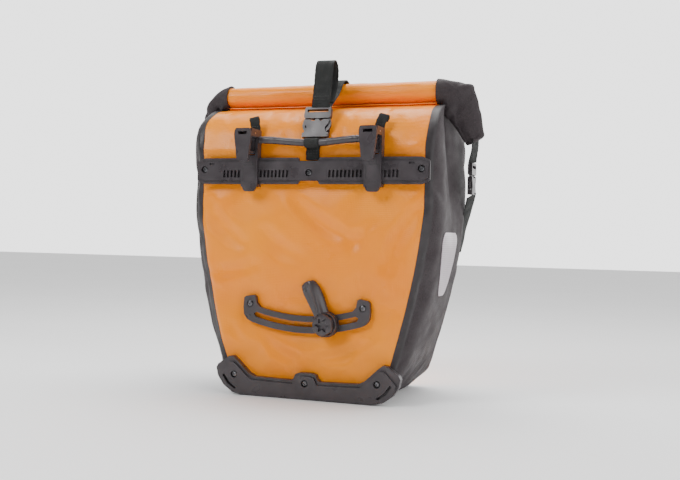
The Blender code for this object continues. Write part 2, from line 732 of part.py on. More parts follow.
def pull_loop(side):
    """The end of the handle's webbing, folded into a loop behind the hook."""
    x = HOOK_X[side]
    lean, inward = (-0.0070, 0.0040) if side == "left" else (0.0070, 0.0020)
    route = ((x + inward, -0.0876, 0.3110), (x + inward, -0.0876, 0.3400),
             (x + inward + lean * 0.6, -0.0850, 0.3540), (x + inward + lean, -0.0830, 0.3620))
    rows = [[(cx - 0.0067, y, z), (cx + 0.0067, y, z)] for cx, y, z in route]
    return sheet(f"{side}_pull_loop", rows, 0.0024, "webbing", offset=0.0)


def handle_points(count=17):
    """The grip's centre line: level at both hooks, sagging between them."""
    first, last = HOOK_X["left"] + HOOK_HALF + 0.001, HOOK_X["right"] - HOOK_HALF - 0.001
    middle, half = (first + last) / 2, (last - first) / 2
    points = []
    for i in range(count):
        x = first + (last - first) * i / (count - 1)
        sag = GRIP_SAG * math.cos(math.pi * (x - middle) / (2 * half)) ** 2
        points.append((x, GRIP_Y, GRIP_END_Z - sag))
    return points


def handle_grip():
    """The hose that covers the handle's webbing: a bent tube, open at its ends."""
    data = bpy.data.curves.new("handle_grip", "CURVE")
    data.dimensions = "3D"
    data.bevel_depth = GRIP_R
    data.bevel_resolution = 2
    spline = data.splines.new("POLY")
    points = handle_points()
    spline.points.add(len(points) - 1)
    for point, co in zip(spline.points, points):
        point.co = (*co, 1)
    grip = curve_to_mesh(bpy.data.objects.new("handle_grip", data), "handle_grip", "nylon")
    wall = grip.modifiers.new("Wall", "SOLIDIFY")
    wall.thickness = GRIP_WALL
    wall.offset = -1.0
    return shade_round(grip)


def handle_sleeve():
    """The keeper round the middle of the grip."""
    centre = (GRIP_Y, GRIP_END_Z - GRIP_SAG + 0.0001)
    x0, x1 = SLEEVE_X - SLEEVE_HALF, SLEEVE_X + SLEEVE_HALF
    sleeve = plate("handle_sleeve", circle(centre, SLEEVE_R, 14), x0, x1, "X", "webbing")
    return cut(sleeve, plate("sleeve_bore", circle(centre, GRIP_R + 0.0008, 14), x0 - 0.01, x1 + 0.01, "X"))


# ---------------------------------------------------------------- lower hook

def arc_rail():
    """The curved slotted rail that the lower hook moves along."""
    centre = (0.0, ARC_Z)
    end = math.radians(17.0)
    boss = [(0.0815, 0.0985), (0.0862, 0.1050), (0.0872, 0.1150), (0.0862, 0.1265), (0.0835, 0.1288)]
    boss += [(0.0725, 0.1305), (0.0702, 0.1290), (0.0685, 0.1200), (0.0640, 0.1150)]
    lower = arc(centre, ARC_OUTER, -end, end, 13)
    upper = arc(centre, ARC_INNER, math.radians(14.6), -math.radians(14.6), 11)
    outline = lower + boss + upper + [(-x, z) for x, z in reversed(boss)]
    rail = plate("arc_rail", outline, ARC_FRONT_Y, RAIL_BACK_Y, material="nylon")
    cut(rail, plate("arc_slot", arc_slot(ARC_SLOT_HALF, ARC_SLOT_ANGLE), -0.11, -0.08),
        plate("arc_channel", arc_slot(0.0062, ARC_SLOT_ANGLE), -0.0882, -0.08))
    for side, place in ARC_SCREWS.items():
        cut(rail, bore_cutter(f"arc_hole_{side}", place, HOLE_R, -0.11, -0.08),
            bore_cutter(f"arc_recess_{side}", place, RECESS_R, -0.11, ARC_FRONT_Y + 0.0015, 16))
    return rail


def arc_slot(half, end):
    """The outline of a slot along the arc, with pointed round ends."""
    centre = (0.0, ARC_Z)
    tip = end + half / ARC_R
    outline = arc(centre, ARC_R + half, -end, end, 13) + arc(centre, ARC_R, tip, tip + 0.001, 2)[:1]
    return outline + arc(centre, ARC_R - half, end, -end, 13) + arc(centre, ARC_R, -tip, 0, 2)[:1]


def knob_place():
    return arc((0.0, ARC_Z), ARC_R, HOOK_ANGLE, HOOK_ANGLE + 1, 2)[0]


def lower_hook_base():
    """The foot that slides on the arc rail, with its key in the slot."""
    place = knob_place()
    base = plate("lower_hook_base", circle(place, 0.0165, 20), -0.0948, ARC_FRONT_Y - GAP, material="nylon")
    spread = 0.0055 / ARC_R
    key = arc((0, ARC_Z), ARC_R + 0.0028, HOOK_ANGLE - spread, HOOK_ANGLE + spread, 2)
    key += arc((0, ARC_Z), ARC_R - 0.0028, HOOK_ANGLE + spread, HOOK_ANGLE - spread, 2)
    union(base, plate("lower_hook_key", key, -0.0930, -0.0885))
    return cut(base, bore_cutter("base_bore", place, 0.0026, -0.11, -0.08, 12))


def lower_hook_nut():
    """The clamp nut behind the slot, which the knob's screw draws forward."""
    spread = 0.0060 / ARC_R
    outline = arc((0, ARC_Z), ARC_R + 0.0056, HOOK_ANGLE - spread, HOOK_ANGLE + spread, 2)
    outline += arc((0, ARC_Z), ARC_R - 0.0056, HOOK_ANGLE + spread, HOOK_ANGLE - spread, 2)
    clamp = plate("lower_hook_nut", outline, -0.0879, -0.0856, material="steel")
    return cut(clamp, bore_cutter("nut_bore", knob_place(), 0.0026, -0.10, -0.08, 12))


def lower_hook():
    """The fin that reaches behind a rack strut: a leaf with a ridge along it."""
    x, z = knob_place()
    ring = circle((0, 0), 0.0142, 20)
    hook = plate("lower_hook", ring, -0.1000, -0.0951, material="nylon")
    half = [(0.0102, 0.0), (0.0110, 0.0200), (0.0118, 0.0400), (0.0112, 0.0500), (0.0088, 0.0566), (0.0050, 0.0592)]
    leaf = plate("lower_hook_leaf", mirrored(half), -0.1010, -0.0951)
    ridge = [(0.0034, 0.0142), (0.0028, 0.0420), (0.0010, 0.0545)]
    ridge = plate("lower_hook_ridge", mirrored(ridge), -0.1060, -0.1005)
    bore = bore_cutter("lower_hook_bore", (0, 0), 0.0034, -0.12, -0.08, 12)
    recess = bore_cutter("lower_hook_recess", (0, 0), KNOB_R + 0.0006, -0.12, -0.1000, 20)
    cut(union(hook, leaf, ridge), recess, bore)
    axis = empty_at("lower_hook_axis", (0, 0, 0))
    for piece in (hook, leaf, ridge, bore, recess):
        hang(piece, axis)
    axis.location = (x, 0, z)
    axis.rotation_euler = (0, FIN_LEAN, 0)
    return hook


def lower_hook_knob():
    """The clamp knob with a cross recess, and its screw."""
    x, z = knob_place()
    back, front = -0.1003, -0.1112
    depth = back - front
    profile = ((0.0, depth), (KNOB_R - 0.0015, depth), (KNOB_R, depth - 0.0015), (KNOB_R, 0.0),
               (0.0023, 0.0), (0.0023, -0.0145), (0.0, -0.0145))
    knob = turned("lower_hook_knob", profile, (x, back, z), 20, "nylon")
    arms = 0.0022, 0.0088
    cross = [(arms[0], -arms[1]), (arms[0], -arms[0]), (arms[1], -arms[0]), (arms[1], arms[0]),
             (arms[0], arms[0]), (arms[0], arms[1])]
    cross += [(-u, -v) for u, v in cross]
    lean = math.radians(20)
    turned_cross = [(x + u * math.cos(lean) - v * math.sin(lean), z + u * math.sin(lean) + v * math.cos(lean))
                    for u, v in cross]
    return cut(knob, plate("knob_cross", turned_cross, front - 0.01, front + 0.0026))


# ---------------------------------------------------------------- bumper

def bumper():
    """The guard along the foot of the back wall."""
    half = [(0.0900, 0.0), (0.1035, 0.0032), (0.1160, 0.0118), (0.1240, 0.0232), (0.1262, 0.0335), (0.1238, 0.0382),
            (0.1085, 0.0490), (0.1030, 0.0496), (0.0960, 0.0440), (0.0800, 0.0290), (0.0714, 0.0247),
            (0.0195, 0.0235), (0.0160, 0.0262), (0.0138, 0.0318), (0.0085, 0.0338)]
    guard = plate("bumper", shifted(mirrored(half), BUMPER_X), -0.0945, RAIL_BACK_Y, material="nylon")
    face = [(0.0890, 0.0), (0.1015, 0.0030), (0.1130, 0.0110), (0.1205, 0.0205), (0.1215, 0.0262), (0.1060, 0.0425),
            (0.1000, 0.0422), (0.0790, 0.0232), (0.0738, 0.0205), (0.0165, 0.0195), (0.0120, 0.0285), (0.0070, 0.0300)]
    union(guard, plate("bumper_face", shifted(mirrored(face), BUMPER_X), BUMPER_FRONT_Y, -0.0940))
    for side, place in BUMPER_SCREWS.items():
        cut(guard, bore_cutter(f"bumper_hole_{side}", place, HOLE_R, -0.11, -0.08),
            bore_cutter(f"bumper_recess_{side}", place, RECESS_R, -0.11, BUMPER_FRONT_Y + RECESS_DEPTH, 16))
    for sign in (-1, 1):
        pocket = [(0.0955, 0.0085), (0.0985, 0.0072), (0.1085, 0.0135), (0.1160, 0.0240), (0.1135, 0.0262), (0.1060, 0.0160)]
        pocket = [(BUMPER_X + sign * x, z) for x, z in pocket]
        cut(guard, plate("bumper_pocket", pocket, -0.11, BUMPER_FRONT_Y + 0.0060))
    return guard


# ---------------------------------------------------------------- assembly

def pierce(obj, places):
    """Cuts the screw holes through a wall."""
    for i, place in enumerate(places):
        cut(obj, bore_cutter(f"{obj.name}_hole_{i}", place, HOLE_R, -0.09, -0.075, 10))
    return obj


def build_body():
    holes = [*RAIL_SCREWS.values(), *ARC_SCREWS.values(), *BUMPER_SCREWS.values()]
    pierce(body_panel("back_panel", "back"), holes)
    body_panel("front_panel", "front")
    pierce(back_stiffener(), holes)
    base_panel()
    inner_pocket()
    for side, sign in (("left", -1), ("right", 1)):
        gusset(f"{side}_gusset", sign)
        side_reflector(f"{side}_reflector", sign)


def build_closure():
    roll_top()
    closure_stiffener()
    top_strap()
    strap_patch()
    buckle_strap()
    place = empty_at("top_buckle_place", (BUCKLE_X, BUCKLE_Y, BUCKLE_Z), (BUCKLE_TILT, 0, 0))
    buckle_socket("top_buckle_socket", place, 0.037)
    buckle_plug("top_buckle_plug", place, 0.037)
    strap_tail()
    for side, sign in (("left", -1), ("right", 1)):
        roll_wing(side)
        side_strap(f"{side}_side_strap", sign)
        plug_strap(f"{side}_plug_strap", sign)
        turn = (0, 0, sign * math.pi / 2)
        place = empty_at(f"{side}_buckle_place", (sign * SIDE_X, SIDE_Y, SIDE_Z), turn)
        buckle_socket(f"{side}_side_socket", place, 0.026)
        buckle_plug(f"{side}_side_plug", place, 0.026)


def build_mounting():
    hook_rail()
    arc_rail()
    bumper()
    for group, places, seat in (("rail", RAIL_SCREWS, RAIL_FRONT_Y + RECESS_DEPTH - GAP),
                                ("arc", ARC_SCREWS, ARC_FRONT_Y + 0.0015 - GAP),
                                ("bumper", BUMPER_SCREWS, BUMPER_FRONT_Y + RECESS_DEPTH - GAP)):
        for side, place in places.items():
            screw(f"{group}_screw_{side}", place, seat, -0.0786)
            nut(f"{group}_nut_{side}", place)
    for side in HOOK_X:
        rail_hook(side)
        hook_latch(side)
        latch_pin(side)
        pull_loop(side)
    handle_grip()
    handle_sleeve()
    lower_hook_base()
    lower_hook_nut()
    lower_hook()
    lower_hook_knob()


build_body()
build_closure()
build_mounting()
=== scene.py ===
"""The looks of the pannier bag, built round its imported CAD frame."""

import json
import math

import bmesh
import bpy
from mathutils import Matrix, Vector, noise
from mathutils.bvhtree import BVHTree


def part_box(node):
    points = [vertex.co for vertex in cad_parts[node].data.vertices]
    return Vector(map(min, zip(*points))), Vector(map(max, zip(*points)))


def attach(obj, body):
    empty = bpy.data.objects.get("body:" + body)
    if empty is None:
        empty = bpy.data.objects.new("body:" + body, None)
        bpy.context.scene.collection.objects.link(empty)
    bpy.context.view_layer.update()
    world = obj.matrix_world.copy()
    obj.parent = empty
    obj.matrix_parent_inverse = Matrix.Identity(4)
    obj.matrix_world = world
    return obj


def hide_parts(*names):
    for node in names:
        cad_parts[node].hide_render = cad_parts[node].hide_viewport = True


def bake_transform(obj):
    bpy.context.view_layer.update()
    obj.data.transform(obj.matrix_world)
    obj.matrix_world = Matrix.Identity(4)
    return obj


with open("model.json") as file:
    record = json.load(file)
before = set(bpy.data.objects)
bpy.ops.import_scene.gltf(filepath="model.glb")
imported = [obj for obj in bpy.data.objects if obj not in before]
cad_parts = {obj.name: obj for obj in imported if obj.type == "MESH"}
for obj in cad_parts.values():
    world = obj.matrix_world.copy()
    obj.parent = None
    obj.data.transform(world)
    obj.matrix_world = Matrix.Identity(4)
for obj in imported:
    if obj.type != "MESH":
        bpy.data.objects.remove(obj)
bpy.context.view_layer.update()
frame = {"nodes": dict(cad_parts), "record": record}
NODES = frame["nodes"]

# Shape of the bag and places of its hardware, as the CAD part has them
FACE_Y, FRONT_Y = -0.085, 0.085
BAND = 0.0125
HALF_WIDTH, TAPER_DROP = 0.1650, 0.0550
FOOT_Z, TAPER_Z, SHOULDER_Z = 0.0265, 0.25, 0.315
HOOK_X = {"left": -0.0785, "right": 0.0895}
STRAP_X, TAB_X, BUMPER_X = 0.0100, 0.0045, 0.003
ARC_Z, ARC_INNER, ARC_OUTER, ARC_MIDDLE, ARC_REACH = 0.339, 0.2330, 0.2550, 0.24, 0.34
ACROSS = Vector((1, 0, 0))


# ---------------------------------------------------------------- materials

class Finish:
    """A Principled material with a few procedural layers."""

    def __init__(self, name, colour, roughness, metallic=0.0, coat=0.0, specular=0.5):
        self.material = bpy.data.materials.new(name)
        self.material.use_nodes = True
        self.tree = self.material.node_tree
        self.shader = self.tree.nodes["Principled BSDF"]
        values = {"Base Color": (*colour, 1), "Roughness": roughness, "Metallic": metallic,
                  "Coat Weight": coat, "Coat Roughness": 0.18, "Specular IOR Level": specular}
        for key, value in values.items():
            self.shader.inputs[key].default_value = value
        self.normal = None
        self.place = self.node("ShaderNodeTexCoord")

    def node(self, kind, **values):
        made = self.tree.nodes.new(kind)
        for key, value in values.items():
            setattr(made, key, value)
        return made

    def link(self, a, b):
        self.tree.links.new(a, b)

    def math(self, operation, a, b=None):
        made = self.node("ShaderNodeMath", operation=operation)
        for socket, value in zip(made.inputs, (a, b)):
            if value is None:
                continue
            if isinstance(value, (int, float)):
                socket.default_value = value
            else:
                self.link(value, socket)
        return made.outputs[0]

    def noise(self, scale, detail=3.0, rough=0.5, stretch=(1, 1, 1)):
        mapping = self.node("ShaderNodeMapping")
        mapping.inputs["Scale"].default_value = stretch
        self.link(self.place.outputs["Object"], mapping.inputs["Vector"])
        made = self.node("ShaderNodeTexNoise")
        made.inputs["Scale"].default_value = scale
        made.inputs["Detail"].default_value = detail
        made.inputs["Roughness"].default_value = rough
        self.link(mapping.outputs[0], made.inputs["Vector"])
        return made.outputs["Fac"]

    def axes(self, output="Object"):
        split = self.node("ShaderNodeSeparateXYZ")
        self.link(self.place.outputs[output], split.inputs[0])
        return split.outputs

    def ramp(self, value, low, high, start=0.3, end=0.7):
        made = self.node("ShaderNodeMapRange")
        for key, number in (("From Min", start), ("From Max", end), ("To Min", low), ("To Max", high)):
            made.inputs[key].default_value = number
        self.link(value, made.inputs["Value"])
        return made.outputs[0]

    def tint(self, value, first, second, start=0.3, end=0.7):
        """Base colour between two colours."""
        made = self.node("ShaderNodeValToRGB")
        made.color_ramp.elements[0].position, made.color_ramp.elements[1].position = start, end
        made.color_ramp.elements[0].color = (*first, 1)
        made.color_ramp.elements[1].color = (*second, 1)
        self.link(value, made.inputs[0])
        self.link(made.outputs[0], self.shader.inputs["Base Color"])

    def rough(self, value, low, high, start=0.3, end=0.7):
        self.link(self.ramp(value, low, high, start, end), self.shader.inputs["Roughness"])

    def bump(self, height, depth, strength=1.0):
        """One more bump layer; depth is its height in metres."""
        made = self.node("ShaderNodeBump")
        made.inputs["Distance"].default_value = depth
        made.inputs["Strength"].default_value = strength
        self.link(height, made.inputs["Height"])
        if self.normal is not None:
            self.link(self.normal, made.inputs["Normal"])
        self.normal = made.outputs[0]
        self.link(self.normal, self.shader.inputs["Normal"])

    def crossing(self, a, b, period):
        """The product of two waves, along a + b and a - b."""
        turn = 2 * math.pi / period
        first = self.math("SINE", self.math("MULTIPLY", self.math("ADD", a, b), turn))
        second = self.math("SINE", self.math("MULTIPLY", self.math("SUBTRACT", a, b), turn))
        return self.math("ADD", self.math("MULTIPLY", self.math("MULTIPLY", first, second), 0.5), 0.5)


def tarpaulin():
    """Coated fabric: glossy, with its weave faintly printed through."""
    made = Finish("tarpaulin_fabric", (0.98, 0.24, 0.0), 0.36, coat=0.04, specular=0.32)
    x, y, z = made.axes()
    along = made.math("SUBTRACT", z, made.math("MULTIPLY", y, 0.8))
    made.tint(made.noise(9, 4), (0.96, 0.250, 0.0), (1.0, 0.310, 0.0))
    made.rough(made.noise(26, 4), 0.27, 0.44)
    made.bump(made.noise(20, 3, 0.55), 0.0022, 0.6)
    made.bump(made.noise(70, 4, 0.6), 0.0005, 0.5)
    made.bump(made.crossing(x, along, 0.0042), 0.00024, 0.6)
    return made.material


def gusset_fabric():
    """Dark woven fabric with a matt face."""
    made = Finish("gusset_weave", (0.088, 0.069, 0.074), 0.72, specular=0.35)
    x, y, z = made.axes()
    across = made.math("ADD", x, y)
    made.tint(made.noise(700, 2, 0.7), (0.022, 0.0165, 0.0185), (0.050, 0.0385, 0.0425), 0.25, 0.75)
    made.rough(made.noise(40, 3), 0.55, 0.80)
    made.bump(made.noise(24, 4, 0.6), 0.0018, 0.6)
    made.bump(made.noise(90, 3, 0.6), 0.0004, 0.5)
    made.bump(made.crossing(across, z, 0.0030), 0.00025, 0.8)
    return made.material


def band_fabric():
    """The side fabric's border, pressed smooth where it is welded to the wall."""
    made = Finish("pressed_border", (0.030, 0.024, 0.027), 0.5)
    x, _, z = made.axes()
    made.tint(made.noise(120, 3), (0.015, 0.0115, 0.013), (0.027, 0.021, 0.024))
    made.rough(made.noise(60, 3), 0.42, 0.60)
    made.bump(made.noise(45, 3), 0.0008, 0.5)
    made.bump(made.crossing(x, z, 0.0022), 0.0001, 0.6)
    return made.material


def webbing():
    """Ribbed tape: chevrons across its width, laid out on the strap's own coordinates."""
    made = Finish("webbing_tape", (0.022, 0.024, 0.023), 0.72, specular=0.35)
    u, v, _ = made.axes("UV")
    fold = made.math("PINGPONG", u, 0.0032)
    ribs = made.math("SINE", made.math("MULTIPLY", made.math("ADD", v, fold), 2 * math.pi / 0.0021))
    ribs = made.math("ADD", made.math("MULTIPLY", ribs, 0.5), 0.5)
    made.tint(ribs, (0.006, 0.0065, 0.006), (0.024, 0.026, 0.025), 0.1, 0.9)
    made.rough(made.noise(120, 3), 0.6, 0.85)
    made.bump(made.noise(60, 3), 0.0005, 0.4)
    made.bump(ribs, 0.0004, 0.7)
    return made.material


def nylon(name="moulded_nylon", colour=(0.046, 0.039, 0.043), shine=0.32):
    """Moulded plastic with a fine grain."""
    made = Finish(name, colour, shine, specular=0.5)
    low = tuple(c * 0.82 for c in colour)
    high = tuple(c * 1.22 for c in colour)
    made.tint(made.noise(60, 4), low, high)
    made.rough(made.noise(45, 4), shine - 0.08, shine + 0.12)
    made.bump(made.noise(900, 2, 0.6), 0.00008, 0.5)
    made.bump(made.noise(35, 2), 0.0003, 0.25)
    return made.material


def metal(name, colour, shine):
    made = Finish(name, colour, shine, metallic=1.0)
    made.tint(made.noise(300, 3), tuple(c * 0.8 for c in colour), colour)
    made.rough(made.noise(200, 3, stretch=(1, 8, 1)), shine - 0.08, shine + 0.15)
    made.bump(made.noise(1500, 2), 0.00004, 0.4)
    return made.material


def reflective_film():
    """Silver film with a fine cell pattern."""
    made = Finish("reflective_film", (0.60, 0.52, 0.57), 0.34, metallic=0.15, coat=0.3)
    _, y, z = made.axes()
    cells = made.crossing(y, z, 0.0050)
    made.tint(cells, (0.36, 0.30, 0.335), (0.50, 0.43, 0.47), 0.2, 0.8)
    made.rough(made.noise(50, 3), 0.28, 0.42)
    made.bump(made.noise(30, 3), 0.0008, 0.4)
    made.bump(cells, 0.00012, 0.5)
    return made.material


def thread():
    made = Finish("sewing_thread", (0.05, 0.05, 0.05), 0.6)
    made.tint(made.noise(2500, 2), (0.035, 0.034, 0.034), (0.10, 0.098, 0.098))
    made.bump(made.noise(3000, 2), 0.0001, 0.5)
    return made.material


def mesh_lining():
    made = Finish("mesh_lining", (0.03, 0.03, 0.03), 0.9)
    x, _, z = made.axes()
    made.tint(made.crossing(x, z, 0.0036), (0.008, 0.008, 0.008), (0.05, 0.05, 0.05))
    made.bump(made.crossing(x, z, 0.0036), 0.0003)
    return made.material


LOOKS = {
    "tarpaulin": tarpaulin(),
    "gusset_fabric": gusset_fabric(),
    "webbing": webbing(),
    "nylon": nylon(),
    "sheet_plastic": nylon("plain_sheet", (0.03, 0.03, 0.03), 0.5),
    "steel": metal("plain_steel", (0.62, 0.62, 0.64), 0.32),
    "black_steel": metal("blackened_steel", (0.16, 0.16, 0.17), 0.30),
    "reflector": reflective_film(),
    "mesh_fabric": mesh_lining(),
}
THREAD = thread()
BORDER = band_fabric()


# ---------------------------------------------------------------- mesh helpers

def add(name, verts, faces, look, uvs=None, smooth=True):
    """A new mesh piece with the look of one of the record's material slots."""
    mesh = bpy.data.meshes.new(name)
    mesh.from_pydata([tuple(v) for v in verts], [], faces)
    mesh.update()
    obj = bpy.data.objects.new(name, mesh)
    bpy.context.scene.collection.objects.link(obj)
    if uvs:
        layer = mesh.uv_layers.new(name="UVMap")
        for loop in mesh.loops:
            layer.data[loop.index].uv = uvs[loop.vertex_index]
    if smooth:
        mesh.shade_smooth()
    if isinstance(look, str):
        mesh.materials.append(LOOKS[look])
    elif look:
        mesh.materials.append(look)
    return obj


def tidy_normals(obj, merge=1e-6, needles=0.0):
    """Turns faces outwards, once points nearer than merge are joined and edges under needles dissolved."""
    form = bmesh.new()
    form.from_mesh(obj.data)
    if merge:
        bmesh.ops.remove_doubles(form, verts=form.verts, dist=merge)
    if needles:
        bmesh.ops.dissolve_degenerate(form, edges=form.edges, dist=needles)
    bmesh.ops.recalc_face_normals(form, faces=form.faces)
    form.to_mesh(obj.data)
    form.free()
    return obj


def grid(rows, columns):
    """Quads of a sheet of rows x columns cells, whose points are listed row by row."""
    corners = [j * (columns + 1) + i for j in range(rows) for i in range(columns)]
    return [(a, a + 1, a + columns + 2, a + columns + 1) for a in corners]


def bands(rings, around, first=0, closed=False, seam=True):
    """Quads between rings of points. closed joins the last ring to the first, and seam closes each ring."""
    faces = []
    for j in range(rings if closed else rings - 1):
        low, high = first + j * around, first + (j + 1) % rings * around
        for k in range(around if seam else around - 1):
            m = (k + 1) % around
            faces.append((low + k, low + m, high + m, high + k))
    return faces


def settle(obj):
    """Makes an object's modifiers its mesh."""
    graph = bpy.context.evaluated_depsgraph_get()
    mesh = bpy.data.meshes.new_from_object(obj.evaluated_get(graph))
    old = obj.data
    obj.modifiers.clear()
    obj.data = mesh
    bpy.data.meshes.remove(old)
    return obj


def thicken(obj, thickness, offset, edge=0.0):
    """Gives a sheet its thickness, and rounds its edges where edge is given."""
    solid = obj.modifiers.new("Thickness", "SOLIDIFY")
    solid.thickness = thickness
    solid.offset = offset
    if edge:
        bevel = obj.modifiers.new("Edge", "BEVEL")
        bevel.width, bevel.segments, bevel.limit_method = edge, 2, "ANGLE"
    return settle(obj)


def shade(obj, degrees):
    """Smooth shading, with sharp edges only where faces meet at more than the angle."""
    obj.data.shade_smooth()
    obj.data.set_sharp_from_angle(angle=math.radians(degrees))


def spline(a, b, c, d, t):
    """The smooth curve from b to c, at t from 0 to 1, for numbers or vectors."""
    square, cube = 2 * a - 5 * b + 4 * c - d, 3 * b - a - 3 * c + d
    return 0.5 * (2 * b + (c - a) * t + square * t * t + cube * t ** 3)


def smooth_line(points, step=0.0025):
    """Evenly spaced points along a smooth curve through the given ones."""
    given = [Vector(p) for p in points]
    given = [2 * given[0] - given[1], *given, 2 * given[-1] - given[-2]]
    fine = []
    for a, b, c, d in zip(given, given[1:], given[2:], given[3:]):
        fine += [spline(a, b, c, d, i / 16) for i in range(16)]
    fine.append(given[-2])
    lengths = [0.0]
    for a, b in zip(fine, fine[1:]):
        lengths.append(lengths[-1] + (b - a).length)
    count = max(2, round(lengths[-1] / step))
    result, k = [], 0
    for i in range(count + 1):
        want = lengths[-1] * i / count
        while k < len(fine) - 2 and lengths[k + 1] < want:
            k += 1
        span = lengths[k + 1] - lengths[k] or 1
        result.append(fine[k].lerp(fine[k + 1], (want - lengths[k]) / span))
    return result


def tape(name, points, half, across, thickness=0.0013, look="webbing"):
    """A rounded strap along a smooth line. across is its width's direction, or one for each end."""
    line = smooth_line(points)
    ends = across if isinstance(across, tuple) else (across, across)
    verts, uvs = [], []
    length, rim = 0.0, thickness / 2
    for i, point in enumerate(line):
        before, after = line[max(i - 1, 0)], line[min(i + 1, len(line) - 1)]
        ahead = (after - before).normalized()
        side = Vector(ends[0]).lerp(Vector(ends[1]), i / (len(line) - 1))
        side = (side - side.dot(ahead) * ahead).normalized()
        up = ahead.cross(side)
        if i:
            length += (point - line[i - 1]).length
        wide = half + 0.00025 * math.sin(length * 900)
        edge = wide - rim * 0.7
        upper = [(-wide, 0), (-edge, rim), (-wide * 0.5, rim), (0, rim), (wide * 0.5, rim), (edge, rim)]
        profile = upper + [(-a, -b) for a, b in upper]
        for a, b in profile:
            wave = 0.0003 * noise.noise(point * 90 + Vector((a * 60, 0, 0)))
            verts.append(point + side * a + up * (b + wave))
            uvs.append((a + 0.5, length))
    n = len(profile)
    faces = bands(len(line), n)
    faces.append(tuple(range(n))[::-1])
    faces.append(tuple(range((len(line) - 1) * n, len(line) * n)))
    obj = tidy_normals(add(name, verts, faces, look, uvs), merge=0)
    shade(obj, 80)
    return obj


def stitches(name, runs, radius=0.00028, length=0.0022, gap=0.0012):
    """Short thread lengths along each run; a run is (start, end, outward normal)."""
    verts, faces = [], []
    for start, end, out in runs:
        start, end, out = Vector(start), Vector(end), Vector(out).normalized()
        ahead = (end - start).normalized()
        side = ahead.cross(out)
        total = (end - start).length
        count = max(1, int(total / (length + gap)))
        pitch = total / count
        for i in range(count):
            middle = start + ahead * (pitch * (i + 0.5))
            first = len(verts)
            for along, grow, lift in ((-1, 0.3, -0.6), (-0.7, 1, 0.25), (0.7, 1, 0.25), (1, 0.3, -0.6)):
                for k in range(6):
                    angle = math.pi * k / 3
                    place = middle + ahead * along * length / 2 + out * radius * lift
                    place += side * math.cos(angle) * radius * grow
                    place += out * math.sin(angle) * radius * grow
                    verts.append(place)
            faces += bands(4, 6, first)
            faces.append(tuple(first + k for k in range(6))[::-1])
            faces.append(tuple(first + 18 + k for k in range(6)))
    obj = add(name, verts, faces, THREAD)
    return tidy_normals(obj)


# ---------------------------------------------------------------- bag shell

# cells across a wall, a welded border and a side; rows of the shoulder; radius of the corners
PANEL, EDGE, SIDE = 58, 3, 26
SHOULDER_ROWS = 17
ROUND = 0.010


def half_width(z):
    """Half the width of the bag at a height."""
    if z < FOOT_Z:
        return 0.091 + 0.028 * z / FOOT_Z
    if z >= TAPER_Z:
        return HALF_WIDTH
    return HALF_WIDTH - TAPER_DROP * (1 - z / TAPER_Z) ** 1.5


def smoothstep(low, high, value):
    t = min(1.0, max(0.0, (value - low) / (high - low)))
    return t * t * (3 - 2 * t)


def levels():
    """(half width, height, back y, front y, pinch of the gusset) from the base to the neck."""
    made = []
    heights = [0.0, 0.005, 0.010, 0.0155, 0.021, FOOT_Z]
    heights += [FOOT_Z + (SHOULDER_Z - FOOT_Z) * i / 52 for i in range(1, 53)]
    # the walls, then the shoulder that curves in to the neck
    for z in heights:
        made.append((half_width(z), z, FACE_Y, FRONT_Y, 0.020 * smoothstep(0.15, 0.36, z)))
    for i in range(1, SHOULDER_ROWS + 1):
        angle = math.pi / 2 * i / SHOULDER_ROWS
        inward = 1 - math.cos(angle)
        z = SHOULDER_Z + 0.0655 * math.sin(angle) + (0.0030 if i == SHOULDER_ROWS else 0.0)
        back = FACE_Y + 0.070 * inward
        front = FRONT_Y - 0.089 * inward
        pinch = min(0.020 * smoothstep(0.15, 0.36, z), 0.6 * (front - back))
        made.append((HALF_WIDTH, z, back, front, pinch))
    return made


def ring(level):
    """Points round the bag at one height: back, right side, front, left side."""
    wide, z, back, front, pinch = level
    inner = wide - BAND
    points = []
    round_r = min(ROUND, (front - back) / 2.2)

    def rounded(x, y):
        for cx in (-wide, wide):
            for cy, sy in ((back, 1), (front, -1)):
                d = abs(x - cx) + abs(y - cy)
                if d < round_r:
                    push = 0.414 * round_r * (1 - d / round_r) ** 2 / math.sqrt(2)
                    x -= push * (1 if cx > 0 else -1)
                    y += push * sy
        return x, y

    for sign, near, far in ((1, back, front), (-1, front, back)):
        for i in range(PANEL):
            points.append((sign * (-inner + 2 * inner * i / PANEL), near))
        for i in range(EDGE):
            points.append((sign * (inner + BAND * i / EDGE), near))
        for i in range(SIDE):
            t = i / SIDE
            pinched = pinch * (1 - abs(2 * t - 1)) ** 1.35
            points.append((sign * (wide - pinched), near + (far - near) * t))
        for i in range(EDGE):
            points.append((sign * (wide - BAND * i / EDGE), far))
    return [Vector((*rounded(x, y), z)) for x, y in points]


BACK, FRONT, LEFT, RIGHT, BASE, LEFT_BORDER, RIGHT_BORDER = range(7)


